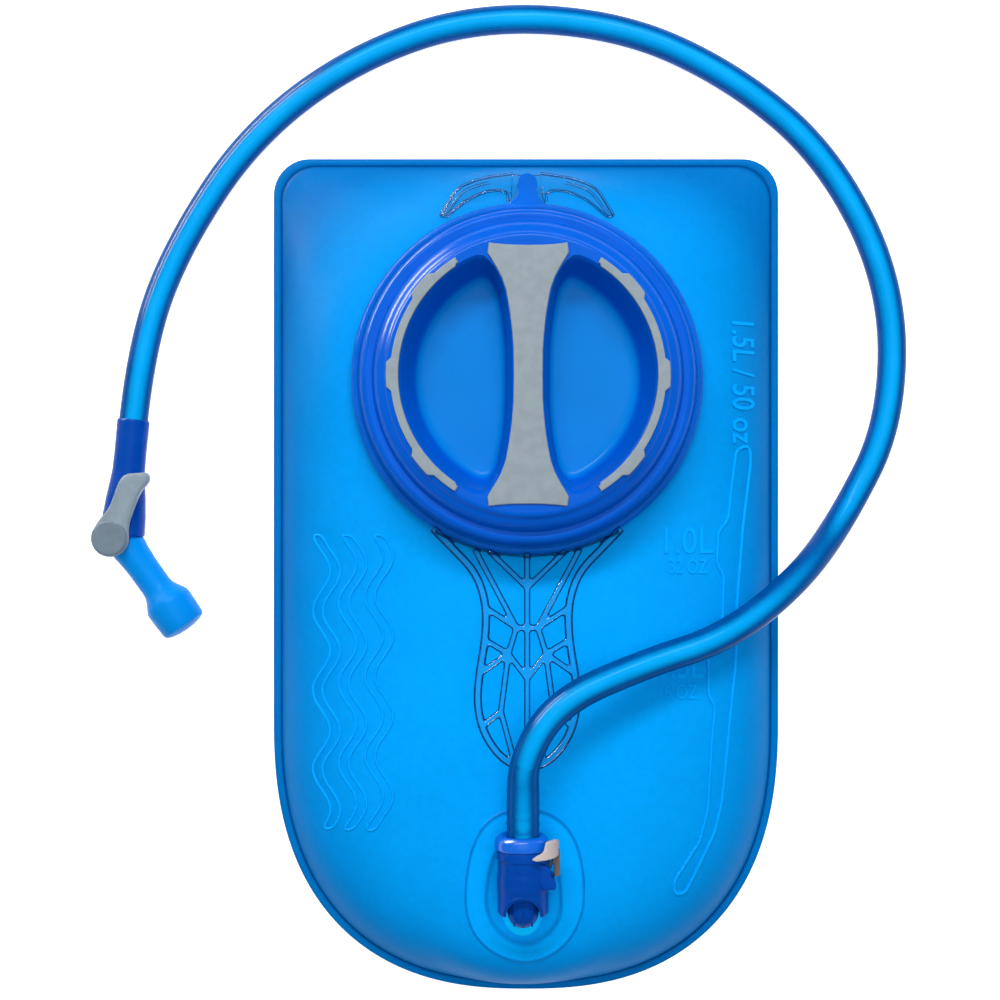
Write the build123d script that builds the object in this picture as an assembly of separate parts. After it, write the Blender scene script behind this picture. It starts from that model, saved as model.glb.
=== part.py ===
from build123d import *
import math
import os

os.makedirs("parts", exist_ok=True)

# A soft drinking-water reservoir lying on its back: millimetres, +Z up, +Y
# towards the hang loop, origin under the middle of the bag on the table.

# ---- bag -------------------------------------------------------------------
HALF_WIDTH = 88.0
HALF_LENGTH = 145.0
CORNER_R = 12.0
TAIL_LENGTH = 94.5          # from the end of the straight sides to the tail
TAIL_POWER = 2.45           # superellipse power of the rounded tail
RIM = 3.0                   # width of the weld all round
RIM_Z = 12.0                # height of the weld plane over the table
FLANGE_T = 0.9              # thickness of one film in the weld
FILM_T = 0.8
FRONT_LEVELS = [(RIM_Z, RIM), (20.5, 6.0), (26.5, 11.0), (30.0, 19.0)]
BACK_LEVELS = [(RIM_Z, RIM), (4.0, 7.0), (0.0, 16.0)]
TAIL_Y = TAIL_LENGTH - HALF_LENGTH

# ---- filling port and cap --------------------------------------------------
CAP_Y = 66.5
PORT_TOP_Z = 30.0           # top of the front film round the filling port
NECK_BORE_R = 44.0
NECK_R = 46.0
NECK_FOOT_Z = 24.6
NECK_TOP_Z = 46.5
NECK_FLANGE_R = 58.0
NECK_FLANGE_T = 1.8
THREAD_LEAD = 18.0
THREAD_STARTS = 4
THREAD_SPAN_DEG = 72.0
THREAD_DEPTH = 1.5
THREAD_W = 1.7
NECK_THREAD_Z = 39.0
CAP_SKIRT_R = 52.0
CAP_SKIRT_BORE_R = 48.2
CAP_SKIRT_Z = 33.6
CAP_ROOF_Z = 48.0
CAP_PLUG_R = 43.4
CAP_FLOOR_Z = 38.0
CAP_FLOOR_T = 2.5
CAP_RIM_Z = 53.8
CAP_RIB_Z = 52.6
DISH_R = 36.6
DISH_TAPER_DEG = 17.0
BAR_T = 1.7
ORING_R = 1.1
RUN_FIT = 0.06

# ---- clear frame: ring, hang loop and lattice handle -----------------------
FRAME_Z = 30.1
FRAME_T = 3.0
FRAME_RING_R = 58.5
HANDLE_Z = 35.2
HANDLE_T = 2.8
HANDLE_WALL = 2.8
RIB_W = 2.2
HANG_R = 68.6
HANG_SLOT_R = 64.0
HANG_SLOT_IN_R = 59.0
STEM_HALF = 5.6
TETHER_Z = 33.4
TETHER_T = 4.0
TETHER_RING_R = 58.8
POST_Y = 131.2
POST_R = 2.0

# ---- exit port and quick link ----------------------------------------------
LINK_X = -1.5
LINK_Z = 43.4
OUTLET_Y = -109.9           # the upright part of the exit port
OUTLET_TOP_Z = 30.0         # top of the front film round the exit port
OUTLET_BORE_R = 3.0
PORT_PLATE_Y = -108.6       # middle of the plate welded under the film
PORT_PLATE_T = 1.8
PORT_PLATE_HALF = (14.0, 15.5)
PLUG_R = 5.2
TURRET_R = 6.6
TURRET_TOP_Z = 31.7
SEAT_GAP = 0.1              # adhesive between a film and what is welded to it
PLUG_TIP_Y = -96.0
PLUG_BORE_R = 3.5
PLUG_STEP_Y = -105.6        # seat of the poppet's spring
PLUG_STEP_BORE_R = 2.4
SEAL_Y = -102.9
SEAL_RING_R = 4.62
SEAL_R = 0.6
RETAINER_T = 1.3
RETAINER_BORE_R = 2.7
POPPET_R = 3.1
POPPET_BACK_Y = -101.9
POPPET_FRONT_Y = -100.4
POPPET_STEM_R = 1.1
POPPET_STEM_Y = -107.0
SOCKET_R = 8.3
SOCKET_BACK_Y = -112.0
SOCKET_FRONT_Y = -91.0
SOCKET_BORE_END_Y = -94.5
SOCKET_NOTCH_R = 5.5        # arch at the back of the socket, round the upright
SOCKET_NOTCH_Y = -109.6
PROBE_TIP_Y = -100.2
BARB_END_Y = -79.0
COLLAR_R = 9.0
COLLAR_FRONT_Y = -84.5
BUTTON_FACE = 10.3          # from the link's axis to the tab's inner face
BUTTON_T = 2.4
BUTTON_HALF_Z = 4.2
BUTTON_SPRING_Y = -94.0
LATCH_Y = (-100.4, -98.8)
LATCH_SLOT_Y = (-100.9, -98.3)
LATCH_HALF_Z = 6.0
LATCH_TONGUE_HALF_Z = 3.6
LATCH_SHOULDER = 7.4        # from the link's axis to where the plate narrows

# ---- drink tube ------------------------------------------------------------
TUBE_R = 5.0
TUBE_BORE_R = 3.2
TUBE_ROUTE = [
    (-1.5, -91, 43.4), (-1.5, -75, 43.4), (-1.5, -58.5, 48), (10, -40, 48.5),
    (38, -28.5, 42.5), (66, -20, 39), (92, -2, 27), (112, 19, 6),
    (129.6, 53.5, 5.3), (129.9, 102.5, 5.2), (107, 148, 5.3), (73, 176.5, 5.2),
    (33, 194.5, 5.3), (-18, 197.5, 5.2), (-62, 182, 5.3), (-98, 154.5, 5.2),
    (-123.2, 116, 5.3), (-135.1, 82, 8.4), (-138.2, 54, 8.4),
]

# ---- shut-off valve and bite valve -----------------------------------------
VALVE_X = -144.5
VALVE_Y = 13.2
VALVE_Z = 8.4
ELBOW_SHIFT = 2.3           # from the spool's axis to where the valve's bend is
HUB_R = 7.2
HUB_LOW_Z = 0.2
HUB_TOP_Z = 14.4
SLEEVE_R = 6.2
FLOW_BORE_R = 2.3
SPOOL_BORE_R = 4.6
SPOOL_TOP_Z = 14.2
LEVER_Z = 14.7
LEVER_T = 2.4
BITE_NECK_R = 5.3
BITE_FLARE_R = 8.3
BITE_SPIGOT_R = 3.5
BITE_DIR = (0.582, -0.814)


def write(shape, node):
    """Write one sub-part as its own STEP file."""
    export_step(shape, f"parts/{node}.step")


def rod(start, end, radius):
    """A round bar from one point to another."""
    along = Vector(*end) - Vector(*start)
    return Plane(start, z_dir=along) * Cylinder(
        radius, along.length, align=(Align.CENTER, Align.CENTER, Align.MIN)
    )


def disc(radius, low, high, x=0.0, y=0.0):
    """An upright cylinder between two heights."""
    return rod((x, y, low), (x, y, high), radius)


def block(low, high):
    """A box from its lowest and highest corners."""
    size = [high[i] - low[i] for i in range(3)]
    middle = [(high[i] + low[i]) / 2 for i in range(3)]
    return Pos(*middle) * Box(*size)


def lathe(profile, x=0.0, y=0.0):
    """Revolve a closed list of (radius, height) points about Z."""
    face = make_face(Plane.XZ * Polyline(*profile, close=True))
    return Pos(x, y, 0) * revolve(face, Axis.Z)


def ring_bar(radius, section_r, z, x=0.0, y=0.0):
    """A round-section ring lying flat."""
    return Pos(x, y, z) * Torus(radius, section_r)


def spring(start, end, radius, wire_r, turns):
    """A compression spring wound from start to end."""
    along = Vector(*end) - Vector(*start)
    length = along.length - 2 * wire_r
    helix = Helix(pitch=length / turns, height=length, radius=radius)
    section = Plane(helix @ 0, z_dir=helix % 0) * Circle(wire_r)
    coil = sweep(section, helix, is_frenet=True)
    return Plane(start, z_dir=along) * Pos(0, 0, wire_r) * coil


# ---- bag -------------------------------------------------------------------
def bag_outline(inset):
    """The bag's outline, drawn in by an inset from the cut edge."""
    half = HALF_WIDTH - inset
    tail = TAIL_LENGTH - inset
    head_y = HALF_LENGTH - inset
    steps = 14
    tail_points = []
    for i in range(steps + 1):
        angle = math.pi * i / steps
        reach = abs(math.cos(angle)) ** (2 / TAIL_POWER)
        drop = math.sin(angle) ** (2 / TAIL_POWER)
        tail_points.append((math.copysign(half * reach, math.cos(angle)), TAIL_Y - tail * drop))
    curve = Spline(*tail_points, tangents=[(0, -1), (0, 1)])
    side_y = head_y - CORNER_R
    right = Line((half, side_y), (half, TAIL_Y))
    left = Line((-half, TAIL_Y), (-half, side_y))
    top = Line((-half + CORNER_R, head_y), (half - CORNER_R, head_y))
    corner_left = RadiusArc((-half, side_y), (-half + CORNER_R, head_y), CORNER_R)
    corner_right = RadiusArc((half - CORNER_R, head_y), (half, side_y), CORNER_R)
    return make_face([right, curve, left, corner_left, top, corner_right])


def bag_half(levels, inset_more, lift):
    """A solid through outlines at (height, inset) levels."""
    sections = [Pos(0, 0, z + lift) * bag_outline(inset + inset_more) for z, inset in levels]
    return loft(sections, ruled=True)


def weld_flange():
    """The flat band of one film that is welded to the other film."""
    return extrude(bag_outline(0), FLANGE_T) - extrude(bag_outline(RIM + 0.4), FLANGE_T)


def make_front_film():
    film = bag_half(FRONT_LEVELS, 0, 0)
    film -= bag_half([(RIM_Z, RIM)] + FRONT_LEVELS[1:], FILM_T, -FILM_T)
    film += Pos(0, 0, RIM_Z) * weld_flange()
    film -= disc(NECK_R, 0, 60, y=CAP_Y)
    return film - disc(TURRET_R, 0, 60, x=LINK_X, y=OUTLET_Y)


def make_back_film():
    film = bag_half(BACK_LEVELS, 0, 0)
    film -= bag_half([(RIM_Z, RIM)] + BACK_LEVELS[1:], FILM_T, FILM_T)
    return film + Pos(0, 0, RIM_Z - FLANGE_T) * weld_flange()


# ---- filling port ----------------------------------------------------------
def thread(radius, start_z, outward):
    """Short coarse thread ridges, one for each start, on one helix each."""
    height = THREAD_LEAD * THREAD_SPAN_DEG / 360
    helix = Helix(pitch=THREAD_LEAD, height=height, radius=radius)
    tip = THREAD_DEPTH if outward else -THREAD_DEPTH
    root = -0.4 if outward else 0.4
    half = THREAD_W / 2
    section = make_face(
        Plane(helix @ 0, x_dir=(1, 0, 0), z_dir=helix % 0)
        * Polyline((root, -half), (root, half), (tip, half * 0.45), (tip, -half * 0.45), close=True)
    )
    ridge = sweep(section, helix, is_frenet=True)
    turn = 360 / THREAD_STARTS
    return [Pos(0, 0, start_z) * Rot(0, 0, i * turn) * ridge for i in range(THREAD_STARTS)]


def make_port_neck():
    flange_top = PORT_TOP_Z - FILM_T - SEAT_GAP
    flange_low = flange_top - NECK_FLANGE_T
    neck = lathe([
        (NECK_BORE_R, NECK_FOOT_Z), (NECK_R, NECK_FOOT_Z), (NECK_R, flange_low),
        (NECK_FLANGE_R, flange_low), (NECK_FLANGE_R, flange_top), (NECK_R, flange_top),
        (NECK_R, NECK_TOP_Z - 0.6), (NECK_R - 0.6, NECK_TOP_Z),
        (NECK_BORE_R + 0.6, NECK_TOP_Z), (NECK_BORE_R, NECK_TOP_Z - 0.6),
    ])
    for ridge in thread(NECK_R, NECK_THREAD_Z, True):
        neck += ridge
    return Pos(0, CAP_Y, 0) * neck


# ---- cap -------------------------------------------------------------------
def bar_outline():
    """The bow-tie grip bar: narrow in the middle, wide at both ends."""
    side = [(4.65, 0), (5.2, 14.5), (7.25, 27.7), (10.3, 34.7), (13.15, 39.4)]
    end = (12.75, 42.6)
    quarter = Spline(*side, tangents=[(0, 1), (0.45, 1)])
    cheek = Line(side[-1], end)
    tip = ThreePointArc(end, (0, 41.8), (-end[0], end[1]))
    half = [quarter, cheek, mirror(quarter, Plane.YZ), mirror(cheek, Plane.YZ), tip]
    return make_face(half + [mirror(edge, Plane.XZ) for edge in half])


def make_grip_bar():
    return Pos(0, CAP_Y, CAP_RIB_Z) * extrude(bar_outline(), BAR_T)


def make_grip_arc(side):
    """A grip inlay on the rim, with three pads on its outer edge."""
    height = 1.9
    arc = disc(44.6, 0, height) - disc(42.0, 0, height)
    for angle in (-40, 0, 40):
        pad = disc(46.0, 0, height) - disc(42.0, 0, height)
        arc += pad & (Rot(0, 0, angle) * block((0, -4.2, 0), (60, 4.2, height)))
    wedge = extrude(make_face(Polyline((0, 0), (60, -96), (120, 0), (60, 96), close=True)), height)
    turned = Rot(0, 0, 0 if side > 0 else 180) * (arc & wedge)
    return Pos(0, CAP_Y, CAP_RIB_Z) * turned


def dish_pocket(side):
    """One D-shaped finger pocket beside the grip bar."""
    floor = Circle(DISH_R) & Pos(side * (DISH_R / 2 + 11.5), 0) * Rectangle(DISH_R, 2 * DISH_R)
    floor = fillet(floor.vertices(), 5.0)
    depth = CAP_RIM_Z + 1 - CAP_FLOOR_Z
    return Pos(0, CAP_Y, CAP_FLOOR_Z) * extrude(floor, depth, taper=-DISH_TAPER_DEG)


def make_cap_shell(inlays):
    under_z = CAP_FLOOR_Z - CAP_FLOOR_T
    cap = lathe([
        (0, under_z), (CAP_PLUG_R - 1, under_z), (CAP_PLUG_R, under_z + 1),
        (CAP_PLUG_R, CAP_ROOF_Z), (CAP_SKIRT_BORE_R, CAP_ROOF_Z),
        (CAP_SKIRT_BORE_R, CAP_SKIRT_Z), (CAP_SKIRT_R, CAP_SKIRT_Z), (CAP_SKIRT_R, 37.8),
        (56.0, 37.8), (56.0, 40.4), (55.4, 41.4), (55.3, 44.6), (54.7, 46.2), (53.3, 47.1),
        (51.9, 47.0), (51.2, 46.5), (50.6, 47.2), (50.3, 49.2), (49.5, 50.9), (47.9, 51.9),
        (46.7, 52.2), (46.3, 53.2), (45.5, CAP_RIM_Z), (0, CAP_RIM_Z),
    ])
    for ridge in thread(CAP_SKIRT_BORE_R, NECK_THREAD_Z - THREAD_LEAD / THREAD_STARTS / 2, False):
        cap += ridge
    cap -= ring_bar(CAP_PLUG_R - 0.5, ORING_R, 42.0)
    cap = Pos(0, CAP_Y, 0) * cap
    for side in (-1, 1):
        cap -= dish_pocket(side)
    top = disc(41.2, CAP_RIB_Z, CAP_RIM_Z + 1, y=CAP_Y)
    cap -= top
    for inlay in inlays:
        cap -= inlay
    return cap


def make_cap_oring():
    return ring_bar(CAP_PLUG_R - 0.5, ORING_R - RUN_FIT, 42.0, y=CAP_Y)


def make_cap_tether():
    """The loose ring round the cap's skirt, with the strap to the hang loop."""
    ring = disc(TETHER_RING_R, TETHER_Z, TETHER_Z + TETHER_T, y=CAP_Y)
    strap = block((-2.9, CAP_Y + 50, TETHER_Z), (2.9, POST_Y, TETHER_Z + 2.4))
    eye = disc(4.3, TETHER_Z, TETHER_Z + 2.4, y=POST_Y)
    band = ring + strap + eye
    band -= disc(CAP_SKIRT_R + 0.3, 30, 60, y=CAP_Y)
    return band - disc(POST_R + 0.3, 30, 60, y=POST_Y)


# ---- clear frame -----------------------------------------------------------
HANDLE_SIDE = [
    (30.0, 14.0), (23.8, 8.6), (17.4, 2.0), (14.3, -5.2), (13.4, -13.0), (13.9, -22.0),
    (15.6, -32.0), (16.3, -42.0), (14.6, -51.0), (10.2, -58.5), (5.2, -62.6), (0, -63.6),
]
LATTICE = [
    ((0, 8.5), (0, -63.0)), ((12.8, 8.9), (0, -3.4)), ((17.5, 9.4), (3.6, -16.8)),
    ((3.6, -16.8), (6.3, -25.5)), ((3.6, -16.8), (0, -16.8)), ((6.3, -25.5), (13.9, -21.0)),
    ((6.3, -25.5), (15.6, -32.0)), ((6.3, -25.5), (0, -33.8)), ((6.3, -30.0), (8.8, -44.8)),
    ((8.8, -44.8), (14.6, -49.5)), ((8.8, -44.8), (4.6, -60.5)), ((14.0, -10.0), (5.4, -17.8)),
]


def strut(start, end, width):
    """A flat bar between two points of a plan."""
    run = Vector(*end) - Vector(*start)
    middle = (Vector(*start) + Vector(*end)) * 0.5
    angle = math.degrees(math.atan2(run.Y, run.X))
    return Pos(middle.X, middle.Y) * Rot(0, 0, angle) * SlotCenterToCenter(run.length, width)


def handle_plan():
    """The lattice handle seen from above: a closed frame and its ribs."""
    bars = [(a, b, HANDLE_WALL) for a, b in zip(HANDLE_SIDE, HANDLE_SIDE[1:])]
    bars += [(a, b, RIB_W) for a, b in LATTICE]
    plan = strut((-30, 14.0), (30, 14.0), HANDLE_WALL)
    for start, end, width in bars:
        plan += strut(start, end, width)
        if start[0] or end[0]:
            plan += strut((-start[0], start[1]), (-end[0], end[1]), width)
    return plan


def hang_plan():
    """The hang loop seen from above, with a slot each side of its stem."""
    def corners(reach, low, spread):
        return Polyline((-reach, low), (-spread, 66), (spread, 66), (reach, low), close=True)
    outer = make_face(corners(29.5, 50, 22.6)) & Circle(HANG_R)
    slot = make_face(corners(25.0, 50, 18.2)) & Circle(HANG_SLOT_R)
    slot -= Circle(HANG_SLOT_IN_R)
    return outer - (slot - Rectangle(2 * STEM_HALF, 200))


def make_clear_frame():
    ring = Circle(FRAME_RING_R) + Circle(63.0) & Pos(0, -56) * Rectangle(64, 40)
    plate = (Circle(FRAME_RING_R) + ring + hang_plan()) - Circle(NECK_R)
    frame = Pos(0, CAP_Y, FRAME_Z) * extrude(plate, FRAME_T)
    frame += Pos(0, 0, HANDLE_Z) * extrude(handle_plan(), HANDLE_T)
    root = (Circle(63.0) - Circle(59.4)) & Pos(0, -56) * Rectangle(64, 40)
    frame += Pos(0, CAP_Y, FRAME_Z) * extrude(root, HANDLE_Z + HANDLE_T - FRAME_Z)
    frame -= disc(59.4, FRAME_Z + FRAME_T, 60, y=CAP_Y)
    frame += disc(POST_R, FRAME_Z, TETHER_Z + 3.6, y=POST_Y)
    return frame


# ---- exit port -------------------------------------------------------------
def link_rod(start_y, end_y, radius):
    """A round bar on the quick link's axis."""
    return rod((LINK_X, start_y, LINK_Z), (LINK_X, end_y, LINK_Z), radius)


def seal_groove(section_r):
    return Pos(LINK_X, SEAL_Y, LINK_Z) * Rot(90, 0, 0) * Torus(SEAL_RING_R, section_r)


def make_exit_port():
    plate_low = OUTLET_TOP_Z - FILM_T - SEAT_GAP - PORT_PLATE_T
    plate = Pos(LINK_X, PORT_PLATE_Y, plate_low) * extrude(Ellipse(*PORT_PLATE_HALF), PORT_PLATE_T)
    turret = disc(TURRET_R, plate_low, TURRET_TOP_Z, x=LINK_X, y=OUTLET_Y)
    upright = disc(PLUG_R, TURRET_TOP_Z - 0.5, LINK_Z, x=LINK_X, y=OUTLET_Y)
    nose = Pos(LINK_X, OUTLET_Y, LINK_Z) * Sphere(PLUG_R)
    port = plate + turret + upright + nose + link_rod(OUTLET_Y, PLUG_TIP_Y, PLUG_R)
    port -= disc(OUTLET_BORE_R, 20, LINK_Z, x=LINK_X, y=OUTLET_Y)
    port -= link_rod(OUTLET_Y, PLUG_STEP_Y, PLUG_STEP_BORE_R)
    port -= link_rod(PLUG_STEP_Y, PLUG_TIP_Y, PLUG_BORE_R)
    return port - seal_groove(SEAL_R + 0.02)


def make_port_retainer():
    ring = link_rod(PLUG_TIP_Y - RETAINER_T, PLUG_TIP_Y, PLUG_BORE_R)
    return ring - link_rod(PLUG_TIP_Y - 5, PLUG_TIP_Y + 5, RETAINER_BORE_R)


def make_port_oring():
    return seal_groove(SEAL_R)


def make_poppet():
    head = link_rod(POPPET_BACK_Y, POPPET_FRONT_Y, POPPET_R)
    return head + link_rod(POPPET_STEM_Y, POPPET_BACK_Y, POPPET_STEM_R)


# ---- quick link ------------------------------------------------------------
def around_link(x_low, x_high, y_low, y_high, half_z):
    """A box about the link's axis, its X measured from the axis."""
    low = (LINK_X + x_low, y_low, LINK_Z - half_z)
    return block(low, (LINK_X + x_high, y_high, LINK_Z + half_z))


def make_socket():
    body = link_rod(SOCKET_BACK_Y, SOCKET_FRONT_Y, SOCKET_R)
    body = chamfer(body.edges().filter_by(GeomType.CIRCLE).group_by(Axis.Y)[0], 1.0)
    body += link_rod(SOCKET_FRONT_Y, BARB_END_Y, TUBE_BORE_R - 0.05)
    body -= link_rod(SOCKET_BACK_Y - 1, SOCKET_BORE_END_Y, PLUG_R + RUN_FIT)
    for angle in (45, 135, 225, 315):
        x = LINK_X + 2.0 * math.cos(math.radians(angle))
        z = LINK_Z + 2.0 * math.sin(math.radians(angle))
        body -= rod((x, SOCKET_BORE_END_Y - 1, z), (x, BARB_END_Y + 1, z), 0.75)
    arch = disc(SOCKET_NOTCH_R, 30, 60, x=LINK_X, y=SOCKET_NOTCH_Y)
    arch += around_link(-SOCKET_NOTCH_R, SOCKET_NOTCH_R, SOCKET_BACK_Y - 1, SOCKET_NOTCH_Y, 12)
    button_side = around_link(6.9, 12, -101, -90, 9)
    latch_slot = around_link(-7.3, 12, *LATCH_SLOT_Y, LATCH_HALF_Z + 0.4)
    spring_well = rod(
        (LINK_X + 5.9, BUTTON_SPRING_Y, LINK_Z), (LINK_X + 12, BUTTON_SPRING_Y, LINK_Z), 1.9
    )
    probe = link_rod(PROBE_TIP_Y, SOCKET_BORE_END_Y + 0.5, 1.1)
    return (body - arch - button_side - latch_slot - spring_well) + probe


def make_link_collar():
    collar = link_rod(SOCKET_FRONT_Y, COLLAR_FRONT_Y, COLLAR_R)
    collar = fillet(collar.edges().filter_by(GeomType.CIRCLE), 2.4)
    return collar - link_rod(SOCKET_FRONT_Y - 1, COLLAR_FRONT_Y + 1, TUBE_R)


def make_button():
    tab = around_link(BUTTON_FACE, BUTTON_FACE + BUTTON_T, -101.0, -87.0, BUTTON_HALF_Z)
    tab = fillet(tab.edges().filter_by(Axis.X), 1.6)
    return fillet(tab.faces().sort_by(Axis.X)[-1].edges(), 0.8)


def make_latch_plate():
    plate = around_link(-6.1, BUTTON_FACE, *LATCH_Y, LATCH_HALF_Z)
    tongue = around_link(LATCH_SHOULDER, BUTTON_FACE + 1, *LATCH_SLOT_Y, LATCH_TONGUE_HALF_Z)
    plate -= around_link(LATCH_SHOULDER, BUTTON_FACE + 1, *LATCH_SLOT_Y, LATCH_HALF_Z + 1) - tongue
    for shift in (-0.35, 0.65):
        hole = link_rod(LATCH_SLOT_Y[0] - 1, LATCH_SLOT_Y[1] + 1, PLUG_R + 0.35)
        plate -= Pos(shift, 0, 0) * hole
    return plate


# ---- drink tube ------------------------------------------------------------
def tube_radii():
    """The bend radius at each inner point of the route."""
    radii = []
    for i in range(1, len(TUBE_ROUTE) - 1):
        before = Vector(*TUBE_ROUTE[i]) - Vector(*TUBE_ROUTE[i - 1])
        after = Vector(*TUBE_ROUTE[i + 1]) - Vector(*TUBE_ROUTE[i])
        half_turn = math.radians(before.get_angle(after)) / 2
        radii.append(0.45 * min(before.length, after.length) / math.tan(half_turn))
    return radii


def make_drink_tube():
    radii = tube_radii()
    path = FilletPolyline(*TUBE_ROUTE, radius=radii)
    plane = Plane(path @ 0, z_dir=path % 0)
    outer = sweep(plane * Circle(TUBE_R), path)
    bore = sweep(plane * Circle(TUBE_BORE_R), path)
    tube = outer - bore
    section = math.pi * (TUBE_R ** 2 - TUBE_BORE_R ** 2)
    print("tube radii", [round(r) for r in radii])
    print("tube length", round(path.length, 1), "volume", round(tube.volume))
    print("section times length", round(section * path.length))
    return tube


# ---- shut-off valve and bite valve -----------------------------------------
HUB = Vector(VALVE_X, VALVE_Y, VALVE_Z)
ELBOW = HUB + Vector(ELBOW_SHIFT, 0, 0)
TUBE_END = Vector(*TUBE_ROUTE[-1])
TUBE_DIR = (Vector(*TUBE_ROUTE[-2]) - TUBE_END).normalized()
INLET_DIR = (TUBE_END - ELBOW).normalized()
OUTLET_DIR = Vector(*BITE_DIR, 0).normalized()


def along_outlet(distance):
    return tuple(ELBOW + OUTLET_DIR * distance)


def make_valve_body():
    body = disc(HUB_R, HUB_LOW_Z, HUB_TOP_Z, x=VALVE_X, y=VALVE_Y)
    body += rod(tuple(ELBOW), tuple(TUBE_END), SLEEVE_R)
    body += rod(tuple(ELBOW), along_outlet(10.0), BITE_NECK_R)
    body += rod(along_outlet(9.0), along_outlet(20.0), BITE_SPIGOT_R)
    body += rod(tuple(TUBE_END), tuple(TUBE_END + TUBE_DIR * 8.0), TUBE_BORE_R - 0.05)
    body -= rod(tuple(TUBE_END), tuple(TUBE_END + TUBE_DIR * 9.0), FLOW_BORE_R)
    body -= rod(tuple(ELBOW), tuple(TUBE_END), FLOW_BORE_R)
    body -= rod(tuple(ELBOW), along_outlet(21.0), FLOW_BORE_R)
    return body - disc(SPOOL_BORE_R, 1.6, 20.0, x=VALVE_X, y=VALVE_Y)


def spool_seals(section_r):
    heights = (3.6, 12.8)
    return [ring_bar(3.85, section_r, z, x=VALVE_X, y=VALVE_Y) for z in heights]


def make_valve_spool():
    spool = disc(SPOOL_BORE_R - 0.08, 1.7, SPOOL_TOP_Z, x=VALVE_X, y=VALVE_Y)
    spool -= rod(tuple(ELBOW), tuple(ELBOW + INLET_DIR * 9.0), FLOW_BORE_R)
    spool -= rod(tuple(ELBOW), along_outlet(9.0), FLOW_BORE_R)
    for seal in spool_seals(0.72):
        spool -= seal
    return spool - disc(1.0, 11.2, 20.0, x=VALVE_X, y=VALVE_Y)


def make_lever():
    """The shut-off lever: a round hub and a curved thumb arm."""
    hub = Circle(6.5)
    corners = [(-4.4, 4.6), (2.2, 22.0), (12.5, 23.2), (12.6, 18.6), (5.6, 4.0)]
    arm = make_face(Polyline(*corners, close=True))
    plan = hub + fillet(arm.vertices(), 1.8)
    lever = Pos(VALVE_X, VALVE_Y, LEVER_Z) * extrude(plan, LEVER_T)
    lever = lever + disc(3.0, SPOOL_TOP_Z, LEVER_Z + 0.1, x=VALVE_X, y=VALVE_Y)
    lever -= disc(1.0, 10, 30, x=VALVE_X, y=VALVE_Y)
    return lever - disc(2.0, LEVER_Z + LEVER_T - 0.8, 30, x=VALVE_X, y=VALVE_Y)


def make_lever_screw():
    shank = disc(1.0, 11.3, LEVER_Z + LEVER_T, x=VALVE_X, y=VALVE_Y)
    return shank + disc(2.0, LEVER_Z + LEVER_T - 0.8, LEVER_Z + LEVER_T + 0.3, x=VALVE_X, y=VALVE_Y)


def make_bite_valve():
    outer = [
        (3.5, 10.2), (BITE_NECK_R, 10.2), (BITE_NECK_R, 22.0), (6.3, 25.5), (7.6, 29.0),
        (8.1, 32.5), (BITE_FLARE_R, 36.0), (7.6, 38.2), (4.2, 39.2), (0, 39.5), (0, 37.6),
        (5.6, 36.4), (6.3, 34.0), (5.4, 28.5), (3.5, 24.0),
    ]
    face = make_face(Plane.XZ * Polyline(*outer, close=True))
    place = Plane(tuple(ELBOW), x_dir=(0, 0, 1), z_dir=tuple(OUTLET_DIR))
    return place * revolve(face, Axis.Z)


def build():
    write(make_front_film(), "front_film")
    write(make_back_film(), "back_film")
    write(make_port_neck(), "port_neck")
    write(make_clear_frame(), "clear_frame")

    bar = make_grip_bar()
    grips = {"cap_grip_left": make_grip_arc(-1), "cap_grip_right": make_grip_arc(1)}
    write(make_cap_shell([bar] + list(grips.values())), "cap_shell")
    write(bar, "cap_grip_bar")
    for node, grip in grips.items():
        write(grip, node)
    write(make_cap_oring(), "cap_oring")
    write(make_cap_tether(), "cap_tether")

    write(make_exit_port(), "exit_port")
    write(make_port_retainer(), "port_retainer")
    write(make_port_oring(), "port_oring")
    write(make_poppet(), "poppet")
    poppet_foot = (LINK_X, PLUG_STEP_Y + 0.05, LINK_Z)
    poppet_head = (LINK_X, POPPET_BACK_Y - 0.05, LINK_Z)
    write(spring(poppet_foot, poppet_head, 2.8, 0.3, 3), "poppet_spring")

    write(make_socket(), "quick_link_socket")
    write(make_link_collar(), "quick_link_collar")
    write(make_button(), "quick_link_button")
    write(make_latch_plate(), "latch_plate")
    spring_foot = (LINK_X + 6.0, BUTTON_SPRING_Y, LINK_Z)
    spring_head = (LINK_X + BUTTON_FACE - 0.05, BUTTON_SPRING_Y, LINK_Z)
    write(spring(spring_foot, spring_head, 1.3, 0.22, 4), "button_spring")

    write(make_drink_tube(), "drink_tube")
    write(make_valve_body(), "valve_body")
    write(make_valve_spool(), "valve_spool")
    write(Compound(children=spool_seals(0.7)), "spool_seals")
    write(make_lever(), "shutoff_lever")
    write(make_lever_screw(), "lever_screw")
    write(make_bite_valve(), "bite_valve")


if __name__ == "__main__":
    build()
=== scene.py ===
"""Looks of a soft drinking-water reservoir: bag, screw cap, handle, drink tube and valve.

Plans and profiles are in millimetres and become metres where meshes are made.
"""
import math

import bpy
import bmesh
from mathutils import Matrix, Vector, noise


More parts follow.
